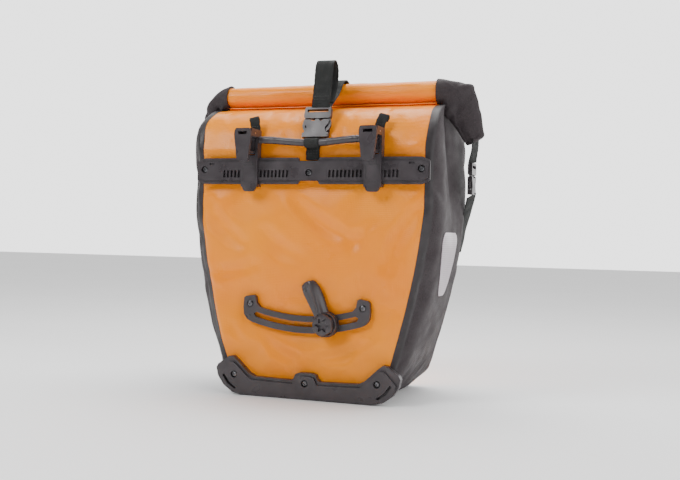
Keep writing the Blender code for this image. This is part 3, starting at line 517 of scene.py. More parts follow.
def shell_mesh():
    """The whole bag as one grid, with each face's zone as its material index."""
    rows = levels()
    verts, faces, zones = [], [], []
    count = 2 * (PANEL + 2 * EDGE + SIDE)
    for row in rows:
        verts += ring(row)
    for j in range(len(rows) - 1):
        for i in range(count):
            k = (i + 1) % count
            a = j * count
            faces.append((a + i, a + k, a + count + k, a + count + i))
            right, left = i - PANEL, i - 2 * PANEL - 2 * EDGE - SIDE
            if i < PANEL:
                zone = BACK
            elif right < 2 * EDGE + SIDE:
                zone = RIGHT_BORDER if right < EDGE or right >= EDGE + SIDE else RIGHT
            elif left < 0:
                zone = FRONT
            else:
                zone = LEFT_BORDER if left < EDGE or left >= EDGE + SIDE else LEFT
            if zone in (BACK, FRONT) and j < 2:
                zone = BASE
            zones.append(zone)
    # the underside joins the back's lowest row to the front's
    across = PANEL + 2 * EDGE
    back_row = [(count - EDGE + i) % count for i in range(across + 1)]
    front_row = [(PANEL + EDGE + SIDE + across - i) % count for i in range(across + 1)]
    net = [back_row]
    for j in range(1, SIDE):
        row = []
        for i in range(across + 1):
            if i == 0:
                row.append((count - EDGE - j) % count)
            elif i == across:
                row.append(PANEL + EDGE + j)
            else:
                row.append(len(verts))
                verts.append(verts[back_row[i]].lerp(verts[front_row[i]], j / SIDE))
        net.append(row)
    net.append(front_row)
    for j in range(SIDE):
        for i in range(across):
            faces.append((net[j][i], net[j + 1][i], net[j + 1][i + 1], net[j][i + 1]))
            zones.append(BASE)
    return verts, faces, zones


def boxed(x, z, x0, x1, z0, z1):
    """Distance from a point to a rectangle."""
    return math.hypot(max(x0 - x, 0, x - x1), max(z0 - z, 0, z - z1))


def hardware_distance(x, z):
    """How far a point of the back wall is from what is screwed to it, and from what lies over it."""
    rail = boxed(x, z, -0.1545, 0.1605, 0.2745, 0.3085)
    radius = math.hypot(x, z - ARC_Z)
    angle = abs(math.atan2(x, ARC_Z - z))
    arc_gap = max(ARC_INNER - radius, 0, radius - ARC_OUTER)
    # beyond the arc's ends, the way round the circle counts too
    arc_gap = math.hypot(arc_gap, max(0, angle - ARC_REACH) * ARC_MIDDLE)
    ends = min(math.hypot(x - s * 0.0775, z - 0.1170) - 0.015 for s in (-1, 1))
    foot = min(boxed(x, z, -0.016, 0.022, 0, 0.034), boxed(x, z, -0.087, 0.093, 0, 0.026))
    for lobe in (BUMPER_X - 0.1, BUMPER_X + 0.1):
        foot = min(foot, boxed(x, z, lobe - 0.026, lobe + 0.026, 0, 0.050))
    hooks = min(boxed(x, z, h - 0.016, h + 0.016, 0.262, 0.350) for h in HOOK_X.values())
    buckle = boxed(x, z, -0.013, 0.027, 0.300, 0.345)
    return max(0.0, min(rail, arc_gap, ends, foot)), max(0.0, min(hooks, buckle))


CLOTH_FRAMES = 22
CLOTH_LIMIT = 0.0075  # the most that the simulation may move the fabric


def simulate(obj):
    """Blows the shell up a little from the inside, held at its hardware, base and neck."""
    group = obj.vertex_groups.new(name="hold")
    for vertex in obj.data.vertices:
        x, y, z = vertex.co
        weight = 0.0
        if z < 0.012 or z > 0.379:
            weight = 1.0
        elif y < FACE_Y + 0.001:
            near, _ = hardware_distance(x, z)
            weight = 1.0 if near < 0.003 else 0.0
        if weight:
            group.add([vertex.index], weight, "REPLACE")
    cloth = obj.modifiers.new("Cloth", "CLOTH")
    settings = cloth.settings
    settings.quality = 6
    settings.mass = 0.05
    settings.tension_stiffness = settings.compression_stiffness = 12
    settings.shear_stiffness = 4
    settings.bending_stiffness = 0.15
    settings.air_damping = 2
    settings.use_pressure = True
    settings.uniform_pressure_force = 6
    settings.shrink_min = -0.018
    settings.vertex_group_mass = "hold"
    settings.effector_weights.gravity = 0
    scene = bpy.context.scene
    scene.frame_start, scene.frame_end = 1, CLOTH_FRAMES
    cloth.point_cache.frame_start, cloth.point_cache.frame_end = 1, CLOTH_FRAMES
    for number in range(1, CLOTH_FRAMES + 1):
        scene.frame_set(number)
    graph = bpy.context.evaluated_depsgraph_get()
    moved = [v.co.copy() for v in obj.evaluated_get(graph).data.vertices]
    obj.modifiers.clear()
    scene.frame_set(1)
    scene.frame_start, scene.frame_end = 1, 1
    return moved


# soft creases of the back wall: ends (x, z, x, z), half width, depth
CREASES = (
    (-0.028, 0.266, 0.062, 0.205, 0.011, 0.0034), (-0.150, 0.262, -0.092, 0.196, 0.013, 0.0030),
    (0.152, 0.250, 0.108, 0.176, 0.012, 0.0030), (-0.120, 0.160, -0.076, 0.172, 0.010, 0.0024),
    (0.070, 0.150, 0.118, 0.118, 0.011, 0.0026), (-0.106, 0.100, -0.082, 0.060, 0.010, 0.0024),
    (-0.060, 0.078, -0.012, 0.046, 0.010, 0.0026), (0.022, 0.052, 0.078, 0.074, 0.010, 0.0026),
    (-0.062, 0.212, -0.010, 0.182, 0.012, 0.0022), (0.096, 0.232, 0.060, 0.186, 0.010, 0.0020),
    (-0.130, 0.330, -0.040, 0.344, 0.010, 0.0026), (0.030, 0.346, 0.128, 0.330, 0.010, 0.0026),
    (-0.030, 0.130, 0.036, 0.142, 0.012, 0.0020), (-0.142, 0.352, -0.096, 0.366, 0.008, 0.0020),
)


def creased(x, z):
    """Outward push of the back wall: it puffs, and its creases press it in between raised lips."""
    push = 0.0034 + 0.0020 * noise.noise(Vector((x * 13, 2.0, z * 10)))
    for ax, az, bx, bz, wide, depth in CREASES:
        dx, dz = bx - ax, bz - az
        t = min(1.0, max(0.0, ((x - ax) * dx + (z - az) * dz) / (dx * dx + dz * dz)))
        bow = 0.006 * math.sin(math.pi * t)
        px, pz = ax + dx * t + bow * dz / 0.08, az + dz * t - bow * dx / 0.08
        d = math.hypot(x - px, z - pz) / wide
        lips = 0.55 * math.exp(-(d - 1.7) ** 2 * 1.6)
        fade = 0.35 + 0.65 * math.sin(math.pi * (0.12 + 0.76 * t))
        push += 1.6 * depth * (lips - math.exp(-d * d)) * fade
    return push


def sculpt(p):
    """Gentle dents and folds that a packed-away bag has, as an outward push."""
    x, y, z = p
    side = abs(x) > 0.15 and y > FACE_Y + 0.002
    push = (0.0012 if side else 0.0022) * noise.noise(Vector((x * 11, y * 11, z * 8)))
    push += (0.0004 if side else 0.0011) * noise.noise(Vector((x * 27 + 4, y * 25, z * 17)))
    ridge = 1 - abs(noise.noise(Vector((x * 9 + z * 7, y * 6, z * 5 - x * 5 + 3))) * 2)
    push += (0.0005 if side else 0.0010) * max(0.0, ridge - 0.75) * 4
    return push


def build_shell():
    """The bag's fabric in one piece, moved by the simulation and by the modelled dents."""
    verts, faces, zones = shell_mesh()
    for i, v in enumerate(verts):
        wave = 0.0012 * noise.noise(v * 14)
        if 0.012 < v.z < 0.378 and v.y > FACE_Y + 0.001:
            verts[i] = v + Vector((0, wave, 0)) if abs(v.x) < 0.15 else v + Vector((wave, 0, 0))
    obj = add("shell", verts, faces, None)
    rest = [v.co.copy() for v in obj.data.vertices]
    moved = simulate(obj)
    normals = [v.normal.copy() for v in obj.data.vertices]
    if obj.data.polygons[0].normal.y > 0:
        normals = [-n for n in normals]
    for vertex, was, now, normal in zip(obj.data.vertices, rest, moved, normals):
        shift = now - was
        if shift.length > 1e-6:
            shift *= CLOTH_LIMIT * math.tanh(shift.length / CLOTH_LIMIT) / shift.length
        x, y, z = was
        fade = smoothstep(0.0, 0.03, z) * (1 - smoothstep(0.365, 0.380, z))
        shift += normal * sculpt(was) * fade
        if was.y < FACE_Y + 0.0012 and z < 0.330:
            # the back wall stays close to what is fixed to it, and clear of the hooks and the buckle
            near, over = hardware_distance(x, z)
            most = min(0.0080, 0.0001 + 0.26 * near, 0.0005 + 0.18 * over)
            least = -min(0.0010, 0.1 * near)
            rim = smoothstep(0.0, 0.012, half_width(z) - 0.006 - abs(x)) * smoothstep(0.0, 0.016, near)
            out = max(least, min(most, -0.55 * shift.y + creased(x, z) * rim))
            shift = Vector((shift.x * 0.3, -out, shift.z * 0.3))
        elif z >= 0.330 and y < 0:
            near, over = hardware_distance(x, z)
            if over < 0.02:
                shift *= 0.25 + 0.75 * over / 0.02
        # the sides swell halfway between the walls, the left one more
        middle = 1 - abs(2 * (y - FACE_Y) / (FRONT_Y - FACE_Y) - 1)
        if abs(x) > half_width(z) - 0.022 and middle > 0:
            swell = (0.0040 if x < 0 else 0.0022) * smoothstep(0.05, 0.14, z)
            swell *= 1 - smoothstep(0.33, 0.37, z)
            if x < 0:
                swell += 0.0042 * smoothstep(0.26, 0.32, z) * (1 - smoothstep(0.350, 0.378, z))
            shift.x += math.copysign(swell * min(1.0, 5 * middle), x)
        if z < 0.004:
            shift = Vector((0, 0, 0))
        vertex.co = was + shift
    for i, zone in enumerate(zones):
        obj.data.polygons[i].material_index = zone
    for _ in range(7):
        obj.data.materials.append(None)
    layer = obj.modifiers.new("Finer", "SUBSURF")
    layer.levels = layer.render_levels = 1
    settle(obj)
    return obj


def split_shell(shell):
    """One piece for each zone of the shell, each with its thickness."""
    plan = {
        BACK: ("back_fabric", "tarpaulin", "back_panel", 0.0010, -1.0),
        FRONT: ("front_fabric", "tarpaulin", "front_panel", 0.0010, -1.0),
        LEFT: ("left_side_fabric", "gusset_fabric", "left_gusset", 0.0016, -0.55),
        RIGHT: ("right_side_fabric", "gusset_fabric", "right_gusset", 0.0016, -0.55),
        BASE: ("base_fabric", "gusset_fabric", "base_panel", 0.0016, -1.0),
    }
    mesh = shell.data
    if mesh.polygons[0].normal.y > 0:
        mesh.flip_normals()
    made = {}
    for zone, (name, look, node, thickness, offset) in plan.items():
        index, verts, faces, border = {}, [], [], []
        extra = {LEFT: LEFT_BORDER, RIGHT: RIGHT_BORDER}.get(zone)
        for polygon in mesh.polygons:
            if polygon.material_index not in (zone, extra):
                continue
            border.append(polygon.material_index != zone)
            face = []
            for v in polygon.vertices:
                if v not in index:
                    index[v] = len(verts)
                    verts.append(mesh.vertices[v].co.copy())
                face.append(index[v])
            faces.append(face)
        obj = add(name, verts, faces, look)
        if extra is not None:
            obj.data.materials.append(BORDER)
            for polygon, edge in zip(obj.data.polygons, border):
                polygon.material_index = int(edge)
        thicken(obj, thickness, offset)
        shade(obj, 50)
        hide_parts(node)
        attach(obj, "bag")
        made[zone] = obj
    bpy.data.objects.remove(shell, do_unlink=True)
    return made


def surface_tree(*objects):
    """A tree for finding points on pieces that are already in place."""
    verts, faces = [], []
    for obj in objects:
        first = len(verts)
        verts += [obj.matrix_world @ v.co for v in obj.data.vertices]
        faces += [[first + v for v in p.vertices] for p in obj.data.polygons]
    return BVHTree.FromPolygons(verts, faces)


def side_reflector(name, sign, tree):
    """The film panel, laid on the side fabric."""
    rows = 22
    # height and half width, from its foot to its top
    spans = ((0.1345, 0.010), (0.1370, 0.0145), (0.15, 0.0225), (0.18, 0.034), (0.20, 0.0395),
             (0.205, 0.040), (0.21, 0.0385), (0.2145, 0.035), (0.2165, 0.030))
    verts, columns = [], 24
    for j in range(rows + 1):
        z = spans[0][0] + (spans[-1][0] - spans[0][0]) * j / rows
        for (z0, h0), (z1, h1) in zip(spans, spans[1:]):
            if z0 <= z <= z1 + 1e-9:
                half = h0 + (h1 - h0) * (z - z0) / (z1 - z0)
                break
        for i in range(columns + 1):
            y = -0.016 + 0.96 * half * (2 * i / columns - 1)
            hit = tree.ray_cast(Vector((sign * 0.30, y, z)), Vector((-sign, 0, 0)))
            x = hit[0].x if hit[0] else sign * half_width(z)
            verts.append(Vector((x + sign * 0.0009, y, z)))
    faces = [face if sign > 0 else face[::-1] for face in grid(rows, columns)]
    obj = thicken(add(name, verts, faces, "reflector"), 0.0008, -1, 0.0003)
    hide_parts(f"{'left' if sign < 0 else 'right'}_reflector")
    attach(obj, "bag")


# ---------------------------------------------------------------- roll and wings

def roll_fabric():
    """The rolled mouth: a spiral strip with soft dents, open at its ends."""
    length, columns, turns, steps = 0.151, 76, 2.0, 88
    centre = Vector((0, -0.012, 0.399))
    verts = []
    for j in range(steps + 1):
        t = turns * j / steps
        angle = -math.pi / 2 - 0.5 + (2 * math.pi * t)
        for i in range(columns + 1):
            x = -length + 2 * length * i / columns
            radius = 0.0176 - 0.0033 * t
            radius += 0.0007 * noise.noise(Vector((x * 22, math.cos(angle) * 1.2, math.sin(angle) * 1.2)))
            radius += 0.0005 * noise.noise(Vector((x * 60, math.cos(angle) * 2, math.sin(angle) * 2 + 5)))
            flat = 1 - 0.05 * math.sin(angle) ** 2
            if t < 0.08:
                radius += 0.0012 * (0.08 - t) / 0.08
            y, z = radius * math.cos(angle) * 1.02, radius * math.sin(angle) * flat
            verts.append(centre + Vector((x, y, z)))
    obj = add("rolled_mouth", verts, grid(steps, columns), "tarpaulin")
    thicken(obj, 0.0011, 1)
    tidy_normals(obj)
    shade(obj, 60)
    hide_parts("roll_top")
    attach(obj, "bag")


def catmull(values, t):
    """A smooth curve through a list of number tuples, at t from 0 to 1."""
    place = t * (len(values) - 1)
    k = min(int(place), len(values) - 2)
    u = place - k
    pick = [values[max(0, min(len(values) - 1, k + i))] for i in (-1, 0, 1, 2)]
    return [spline(a, b, c, d, u) for a, b, c, d in zip(*pick)]


WINGS = {
    # outer edge (x, z), inner edge (x, z), y, half thickness, from the roll to the tip
    "left": (
        (0.1490, 0.4168, 0.1490, 0.3812, -0.012, 0.0178), (0.1620, 0.4125, 0.1570, 0.3815, -0.0120, 0.0158),
        (0.1770, 0.4015, 0.1640, 0.3820, -0.0115, 0.0130), (0.1870, 0.3870, 0.1690, 0.3760, -0.010, 0.0108),
        (0.1930, 0.3730, 0.1730, 0.3650, -0.006, 0.0092), (0.1965, 0.3590, 0.1775, 0.3530, 0.002, 0.0074),
        (0.1985, 0.3460, 0.1830, 0.3370, 0.012, 0.0048),
    ),
    "right": (
        (0.1490, 0.4165, 0.1490, 0.3812, -0.012, 0.0178), (0.1640, 0.4140, 0.1500, 0.3800, -0.0115, 0.0165),
        (0.1800, 0.4115, 0.1500, 0.3790, -0.009, 0.0152), (0.1945, 0.4075, 0.1530, 0.3730, -0.006, 0.0138),
        (0.1985, 0.3880, 0.1580, 0.3650, 0.000, 0.0120), (0.2010, 0.3670, 0.1660, 0.3560, 0.009, 0.0092),
        (0.2030, 0.3470, 0.1790, 0.3350, 0.020, 0.0052),
    ),
}


def wing(side):
    """The end of the roll in side fabric: it leaves the roll round, and folds down flat."""
    sign = -1 if side == "left" else 1
    rings, around, tip = 60, 80, 6
    verts = []
    for j in range(rings + 1):
        t = min(1.0, j / (rings - tip))
        close = max(0.0, (j - (rings - tip)) / tip)
        ox, oz, ix, iz, y, thick = catmull(WINGS[side], t)
        shrink = math.sqrt(max(0.0, 1 - close ** 2))
        drop = 0.0045 * close
        for i in range(around):
            angle = 2 * math.pi * i / around
            c, d = math.cos(angle), math.sin(angle)
            c = math.copysign(abs(c) ** 0.85, c)
            turn = (i / around * 2 + 0.75 * t + (0.1 if sign > 0 else 0.6)) % 1.0
            layer = 0.0017 * (turn ** 1.6 - 0.45) * smoothstep(0.02, 0.25, t)
            crease = 0.0026 * math.exp(-((t - 0.40 - 0.09 * d) * 17) ** 2) * (0.6 + 0.4 * d)
            fold = 0.0018 * math.exp(-((t - 0.63 + 0.07 * c) * 20) ** 2)
            rough = 0.0019 * noise.noise(Vector((ox * 34 + 9 * sign, angle * 0.8, oz * 34)))
            fine = 0.0006 * noise.noise(Vector((c * 2 + 5 * sign, d * 2, oz * 110)))
            grow = layer - (crease + fold) + (rough + fine) * smoothstep(0, 0.12, t)
            half = math.hypot(ox - ix, oz - iz) / 2
            share = 0.5 + 0.5 * c * (1 + grow / half) * (0.55 + 0.45 * shrink)
            depth = thick * d * (1 + 1.1 * grow / thick) * shrink
            x = sign * (ix + (ox - ix) * share + 0.25 * drop)
            verts.append(Vector((x, y + depth, iz + (oz - iz) * share - drop)))
    faces = bands(rings + 1, around)
    faces.append(tuple(range(around)))
    faces.append(tuple(rings * around + i for i in range(around)))
    obj = tidy_normals(add(f"{side}_wing_fabric", verts, faces, "gusset_fabric"))
    shade(obj, 60)
    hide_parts(f"{side}_roll_wing")
    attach(obj, "bag")


# ---------------------------------------------------------------- straps

def outside(point, tree, gap):
    """The point moved onto the front wall or shoulder, gap metres clear of the fabric."""
    point = Vector(point)
    rise = point.z - SHOULDER_Z
    out = Vector((0, point.y, rise)).normalized() if rise > 0 else Vector((0, 1, 0))
    hit = tree.ray_cast(point + out * 0.05, -out)
    return tuple(hit[0] + out * gap) if hit[0] else tuple(point)


def straps(front):
    """The load strap with its tail and patch, the buckle's tab and the side straps, with their stitches."""
    x = STRAP_X
    over = [(x, 0.0862, 0.3000), (x, 0.0864, 0.3180), (x, 0.0845, 0.3300), (x, 0.0760, 0.3445),
            (x, 0.0570, 0.3600), (x, 0.0330, 0.3730), (x, 0.0150, 0.3810), (x, 0.0085, 0.3930),
            (x, 0.0040, 0.4080), (x, -0.0060, 0.4175), (x, -0.0180, 0.4175), (x, -0.0275, 0.4110),
            (x, -0.0345, 0.4030), (x, -0.0430, 0.3950), (x, -0.0560, 0.3860), (x, -0.0680, 0.3770),
            (x, -0.0735, 0.3740)]
    over = [outside(p, front, 0.0016) for p in over[:6]] + over[6:]
    band = tape("load_strap", over, 0.0125, ACROSS)
    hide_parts("top_strap")
    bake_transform(band)

    tail = [(x, -0.0768, 0.3740), (x + 0.0002, -0.0764, 0.3810), (x + 0.0004, -0.0742, 0.3930),
            (x + 0.0006, -0.0716, 0.4070), (x + 0.0008, -0.0698, 0.4210), (x + 0.0009, -0.0668, 0.4318),
            (x + 0.0009, -0.0608, 0.4372), (x + 0.0008, -0.0535, 0.4352), (x + 0.0006, -0.0484, 0.4280),
            (x + 0.0003, -0.0472, 0.4180), (x, -0.0500, 0.4040), (x, -0.0560, 0.3925), (x, -0.0640, 0.3830)]
    loop = tape("strap_end_loop", tail, 0.0125, (ACROSS, Vector((1, 0.05, 0))))
    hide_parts("strap_tail")
    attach(loop, "top_plug")
    runs = [((x - 0.0105, -0.0767, 0.3850), (x + 0.0115, -0.0767, 0.3850), (0, -1, 0.1)),
            ((x - 0.0105, -0.0757, 0.3890), (x + 0.0115, -0.0757, 0.3890), (0, -1, 0.15))]
    thread_rows = stitches("tail_stitches", runs)
    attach(thread_rows, "top_plug")

    base = [outside((x, 0.0862, z), front, 0.0009) for z in (0.2865, 0.2960, 0.3050, 0.3145)]
    patch = tape("strap_base_patch", base, 0.019, ACROSS, 0.0016, "gusset_fabric")
    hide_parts("strap_patch")
    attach(patch, "bag")
    left, right, low, high = x - 0.016, x + 0.016, 0.2895, 0.3115
    low_y, high_y = (outside((x, 0.0862, z), front, 0.0020)[1] for z in (low, high))
    square = [((left, low_y, low), (right, low_y, low), (0, 1, 0)),
              ((left, high_y, high), (right, high_y, high), (0, 1, 0)),
              ((left, low_y, low), (left, high_y, high), (0, 1, 0)),
              ((right, low_y, low), (right, high_y, high), (0, 1, 0))]
    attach(stitches("patch_stitches", square), "bag")

    x = TAB_X
    short = [(x, -0.0872, 0.3060), (x, -0.0876, 0.3150), (x, -0.0872, 0.3240), (x, -0.0868, 0.3336)]
    tab = tape("buckle_tab", short, 0.0092, ACROSS)
    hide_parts("buckle_strap")
    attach(tab, "bag")
    rows = [((x - 0.0075, -0.0886, z), (x + 0.0075, -0.0886, z), (0, -1, 0)) for z in (0.3145, 0.3175)]
    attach(stitches("tab_stitches", rows), "bag")

    lower = [(half_width(0.190) + 0.0020, 0.0750, 0.1900), (half_width(0.205) + 0.0028, 0.0745, 0.2050),
             (half_width(0.22) + 0.0036, 0.0715, 0.2200), (0.1722, 0.0630, 0.2370),
             (0.1788, 0.0495, 0.2535), (0.1840, 0.0382, 0.2666)]
    upper = [(0.1845, 0.0365, 0.3100), (0.1862, 0.0340, 0.3170), (0.1885, 0.0300, 0.3240),
             (0.1905, 0.0255, 0.3320), (0.1915, 0.0225, 0.3420)]
    for side, sign in (("left", -1), ("right", 1)):
        turned = Vector((sign * 0.45, 1, 0.2))
        route = [(sign * a, b, c) for a, b, c in lower]
        strap = tape(f"{side}_lower_webbing", route, 0.0095, (Vector((0, 1, 0.1)), turned))
        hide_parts(f"{side}_side_strap")
        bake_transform(strap)
        route = [(sign * a, b, c) for a, b, c in upper]
        strap = tape(f"{side}_upper_webbing", route, 0.0092, (turned, Vector((sign * 0.3, 1, 0.5))))
        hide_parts(f"{side}_plug_strap")
        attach(strap, "bag")


def pull_webbing():
    """The ends of the handle's tape, which come up behind the hooks as loops."""
    plans = {"left": (HOOK_X["left"] + 0.0040, -0.0070), "right": (HOOK_X["right"] + 0.0020, 0.0070)}
    for side, (cx, lean) in plans.items():
        route = [(cx, -0.0873, 0.3252), (cx, -0.0873, 0.3320), (cx + lean * 0.1, -0.0873, 0.3400),
                 (cx + lean * 0.45, -0.0862, 0.3520), (cx + lean * 0.9, -0.0838, 0.3610),
                 (cx + lean, -0.0815, 0.3628), (cx + lean * 0.9, -0.0806, 0.3600),
                 (cx + lean * 0.7, -0.0815, 0.3545)]
        lean_vector = Vector((1, 0, -0.30 if side == "right" else 0.22))
        loop = tape(f"{side}_pull_webbing", route, 0.0067, (ACROSS, lean_vector), 0.0012)
        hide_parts(f"{side}_pull_loop")
        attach(loop, f"{side}_hook_body")
        seam = cx + lean * 0.4
        rows = [((seam - 0.0052, -0.0876, 0.3500), (seam + 0.0052, -0.0876, 0.3500), (0, -1, 0.2))]
        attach(stitches(f"{side}_pull_stitches", rows), f"{side}_hook_body")


def handle_looks():
    """The hose with its soft sag, and the folded keeper round its middle."""
    low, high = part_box("handle_grip")
    first, last = low[0], high[0]
    middle, half = (first + last) / 2, (last - first) / 2
    centre_y = (low[1] + high[1]) / 2
    verts = []
    columns, around, grip_z, sag_depth = 70, 18, 0.3315, 0.0045
    for layer, radius in enumerate((0.0047, 0.0034)):
        for i in range(columns + 1):
            x = first + (last - first) * i / columns
            sag = sag_depth * math.cos(math.pi * (x - middle) / (2 * half)) ** 2
            wobble = 0.0003 * noise.noise(Vector((x * 90, 3, 5)))
            for k in range(around):
                angle = 2 * math.pi * k / around
                r = radius + (0.0001 * math.sin(x * 5200) if layer == 0 else 0) + wobble
                verts.append(Vector((x, centre_y + r * math.cos(angle), grip_z - sag + r * math.sin(angle))))
    inner = (columns + 1) * around
    faces = bands(columns + 1, around) + bands(columns + 1, around, inner)
    for i in (0, columns):
        for k in range(around):
            m = (k + 1) % around
            faces.append((i * around + k, i * around + m, inner + i * around + m, inner + i * around + k))
    hose = tidy_normals(add("handle_hose", verts, faces, "nylon"))
    shade(hose, 60)
    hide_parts("handle_grip")
    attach(hose, "handle")

    low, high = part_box("handle_sleeve")
    centre = Vector((0, (low[1] + high[1]) / 2, (low[2] + high[2]) / 2))
    verts, uvs = [], []
    profile = [(low[0], 0.0051), (low[0], 0.0057), (low[0] + 0.0006, 0.0062)]
    profile += [(low[0] + (high[0] - low[0]) * t, 0.0062) for t in (0.25, 0.5, 0.75)]
    profile += [(high[0] - 0.0006, 0.0062), (high[0], 0.0057), (high[0], 0.0051), (centre.x, 0.0051)]
    around = 28
    for k in range(around):
        angle = 2 * math.pi * k / around
        for x, r in profile:
            bulge = 0.0004 * noise.noise(Vector((x * 300, math.cos(angle) * 1.5, math.sin(angle) * 1.5)))
            r = r + (bulge if r > 0.0055 else 0)
            verts.append(centre + Vector((x, r * math.cos(angle), r * math.sin(angle))))
            uvs.append((x + 0.5, angle * 0.0062))
    faces = bands(around, len(profile), closed=True)
    keeper = tidy_normals(add("handle_keeper", verts, faces, "webbing", uvs), merge=0)
    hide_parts("handle_sleeve")
    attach(keeper, "handle")


# ---------------------------------------------------------------- hard parts

ROUNDING = {
    "hook_rail": 0.0007, "arc_rail": 0.0009, "bumper": 0.0010, "left_hook": 0.0008, "right_hook": 0.0008,
    "left_latch": 0.0006, "right_latch": 0.0006, "lower_hook_base": 0.0006,
    "lower_hook_knob": 0.0006, "top_buckle_socket": 0.0005, "top_buckle_plug": 0.0005,
    "left_side_socket": 0.0004, "right_side_socket": 0.0004,
    "left_side_plug": 0.0004, "right_side_plug": 0.0004,
}


def finish_cad_nodes():
    """Gives every shown CAD node its look, and softens moulded edges."""
    slots = {entry["node"]: entry["material_slot"] for entry in frame["record"]["subparts"]}
    for name, obj in NODES.items():
        look = LOOKS[slots[name]]
        if obj.data.materials:
            for i in range(len(obj.data.materials)):
                obj.data.materials[i] = look
        else:
            obj.data.materials.append(look)
        if name in ROUNDING:
            bevel = obj.modifiers.new("Rounding", "BEVEL")
            bevel.width = ROUNDING[name]
            bevel.segments = 2
            bevel.limit_method = "ANGLE"
            bevel.angle_limit = math.radians(35)


def lower_hook_frame():
    """The lower hook's middle, and the directions along and across its fin."""
    low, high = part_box("lower_hook_base")
    lean = math.radians(-27)
    return (Vector(((low[0] + high[0]) / 2, 0, (low[2] + high[2]) / 2)),
            Vector((math.sin(lean), 0, math.cos(lean))), Vector((math.cos(lean), 0, -math.sin(lean))))


def leaf_hook():
    """The lower hook: a leaf-shaped fin with a soft curved ridge, on its round foot."""
    centre, ahead, side = lower_hook_frame()
    verts, faces = [], []
    rows, columns, foot, tip = 48, 24, 0.0125, 0.0595
    rear_y, front_y = -0.0951, -0.0952
    n = columns + 1
    for back in (False, True):
        for j in range(rows + 1):
            v = j / rows
            along = foot + (tip - foot) * v
            half = 0.0100 + 0.0022 * math.sin(math.pi * 0.5 * min(1, v * 1.35))
            half -= 0.0024 * smoothstep(0.70, 1.0, v)
            if v > 0.88:
                half *= max(0.0, 1 - ((v - 0.88) / 0.122) ** 3) ** 0.5
            bend = 0.0022 * math.sin(math.pi * v)
            for i in range(columns + 1):
                u = 2 * i / columns - 1
                ridge = math.exp(-((u - 0.12 - 0.25 * v) / 0.34) ** 2)
                crest = 0.0066 * (1 - 0.35 * v) * (1 - v ** 5) * ridge
                height = 0.0046 * (1 - abs(u) ** 5) ** 0.5 + crest
                verts.append(centre + ahead * along + side * (u * half + bend * 0.4)
                             + Vector((0, rear_y if back else front_y - height, 0)))
    back = (rows + 1) * n
    for j in range(rows):
        for i in range(columns):
            a = j * n + i
            faces.append((a, a + 1, a + n + 1, a + n))
            b = back + a
            faces.append((b, b + n, b + n + 1, b + 1))
        for i in (0, columns):
            a = j * n + i
            faces.append((a, a + n, back + a + n, back + a))
    for j in (0, rows):
        for i in range(columns):
            a = j * n + i
            faces.append((a, a + 1, back + a + 1, back + a))
    return tidy_normals(add("hook_leaf", verts, faces, "nylon"))


def star_knob():
    """The round knob, with a pointed star sunk in its face."""
    low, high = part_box("lower_hook_knob")
    centre = Vector(((low[0] + high[0]) / 2, 0, (low[2] + high[2]) / 2))
    front, rear = low[1], -0.1003
    around, points, verts = 120, 6, []
    for k in range(around):
        angle = 2 * math.pi * k / around
        wave = (angle * points / (2 * math.pi)) % 1.0
        star = 0.0050 + 0.0045 * (1 - abs(2 * wave - 1)) ** 1.3
        outer = 0.0136 + 0.0005 * math.cos(points * angle)
        profile = ((0.0, front + 0.0042), (0.0024, front + 0.0042), (star * 0.9, front + 0.0036),
                   (star, front + 0.0008), (star + 0.0004, front + 0.0002), (outer - 0.0022, front),
                   (outer - 0.0008, front + 0.0004), (outer - 0.0002, front + 0.0014),
                   (outer, front + 0.0034), (outer, rear - 0.0008), (outer - 0.0006, rear), (0.0, rear))
        for r, y in profile:
            verts.append(centre + Vector((r * math.sin(angle), y, r * math.cos(angle))))
    faces = bands(around, len(profile), closed=True, seam=False)
    knob = tidy_normals(add("star_knob", verts, faces, "nylon"))
    tidy_normals(knob, merge=0, needles=1e-6)
    shade(knob, 40)
    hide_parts("lower_hook_knob")
    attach(knob, "lower_knob")


def lower_hook_looks():
    """The fin on its collar round the knob."""
    leaf = leaf_hook()
    star_knob()
    low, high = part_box("lower_hook_base")
    centre = Vector(((low[0] + high[0]) / 2, 0, (low[2] + high[2]) / 2))
    profile = [(0.0036, -0.0951), (0.0036, -0.0999), (0.0136, -0.0999), (0.0140, -0.1002), (0.0140, -0.1032),
               (0.0144, -0.1040), (0.0152, -0.1040), (0.0158, -0.1032), (0.0160, -0.0990), (0.0158, -0.0955),
               (0.0154, -0.0951)]
    around, verts = 48, []
    for k in range(around):
        angle = 2 * math.pi * k / around
        for r, y in profile:
            verts.append(centre + Vector((r * math.cos(angle), y, r * math.sin(angle))))
    faces = bands(around, len(profile), closed=True)
    collar = tidy_normals(add("hook_collar", verts, faces, "nylon"))
    shade(collar, 50)
    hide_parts("lower_hook")
    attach(collar, "lower_fin")
    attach(leaf, "lower_fin")


def pocket_fabric():
    """The inner pocket's mesh fabric, a little puffed."""
    low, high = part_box("inner_pocket")
    verts = []
    columns, rows = 40, 26
    corner = 0.012
    for j in range(rows + 1):
        z = low[2] + (high[2] - low[2]) * j / rows
        cut = max(0.0, corner - (z - low[2]))
        half = (high[0] - low[0]) / 2 - cut
        for i in range(columns + 1):
            x = half * (2 * i / columns - 1)
            puff = 0.004 * math.sin(math.pi * i / columns) * (0.4 + 0.6 * j / rows)
            puff += 0.0012 * noise.noise(Vector((x * 30, 0, z * 30)))
            verts.append(Vector((x, high[1] + max(0.0, puff), z)))
    faces = [(a, d, c, b) for a, b, c, d in grid(rows, columns)]
    obj = thicken(add("pocket_fabric", verts, faces, "mesh_fabric"), 0.001, 1)
    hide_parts("inner_pocket")
    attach(obj, "bag")


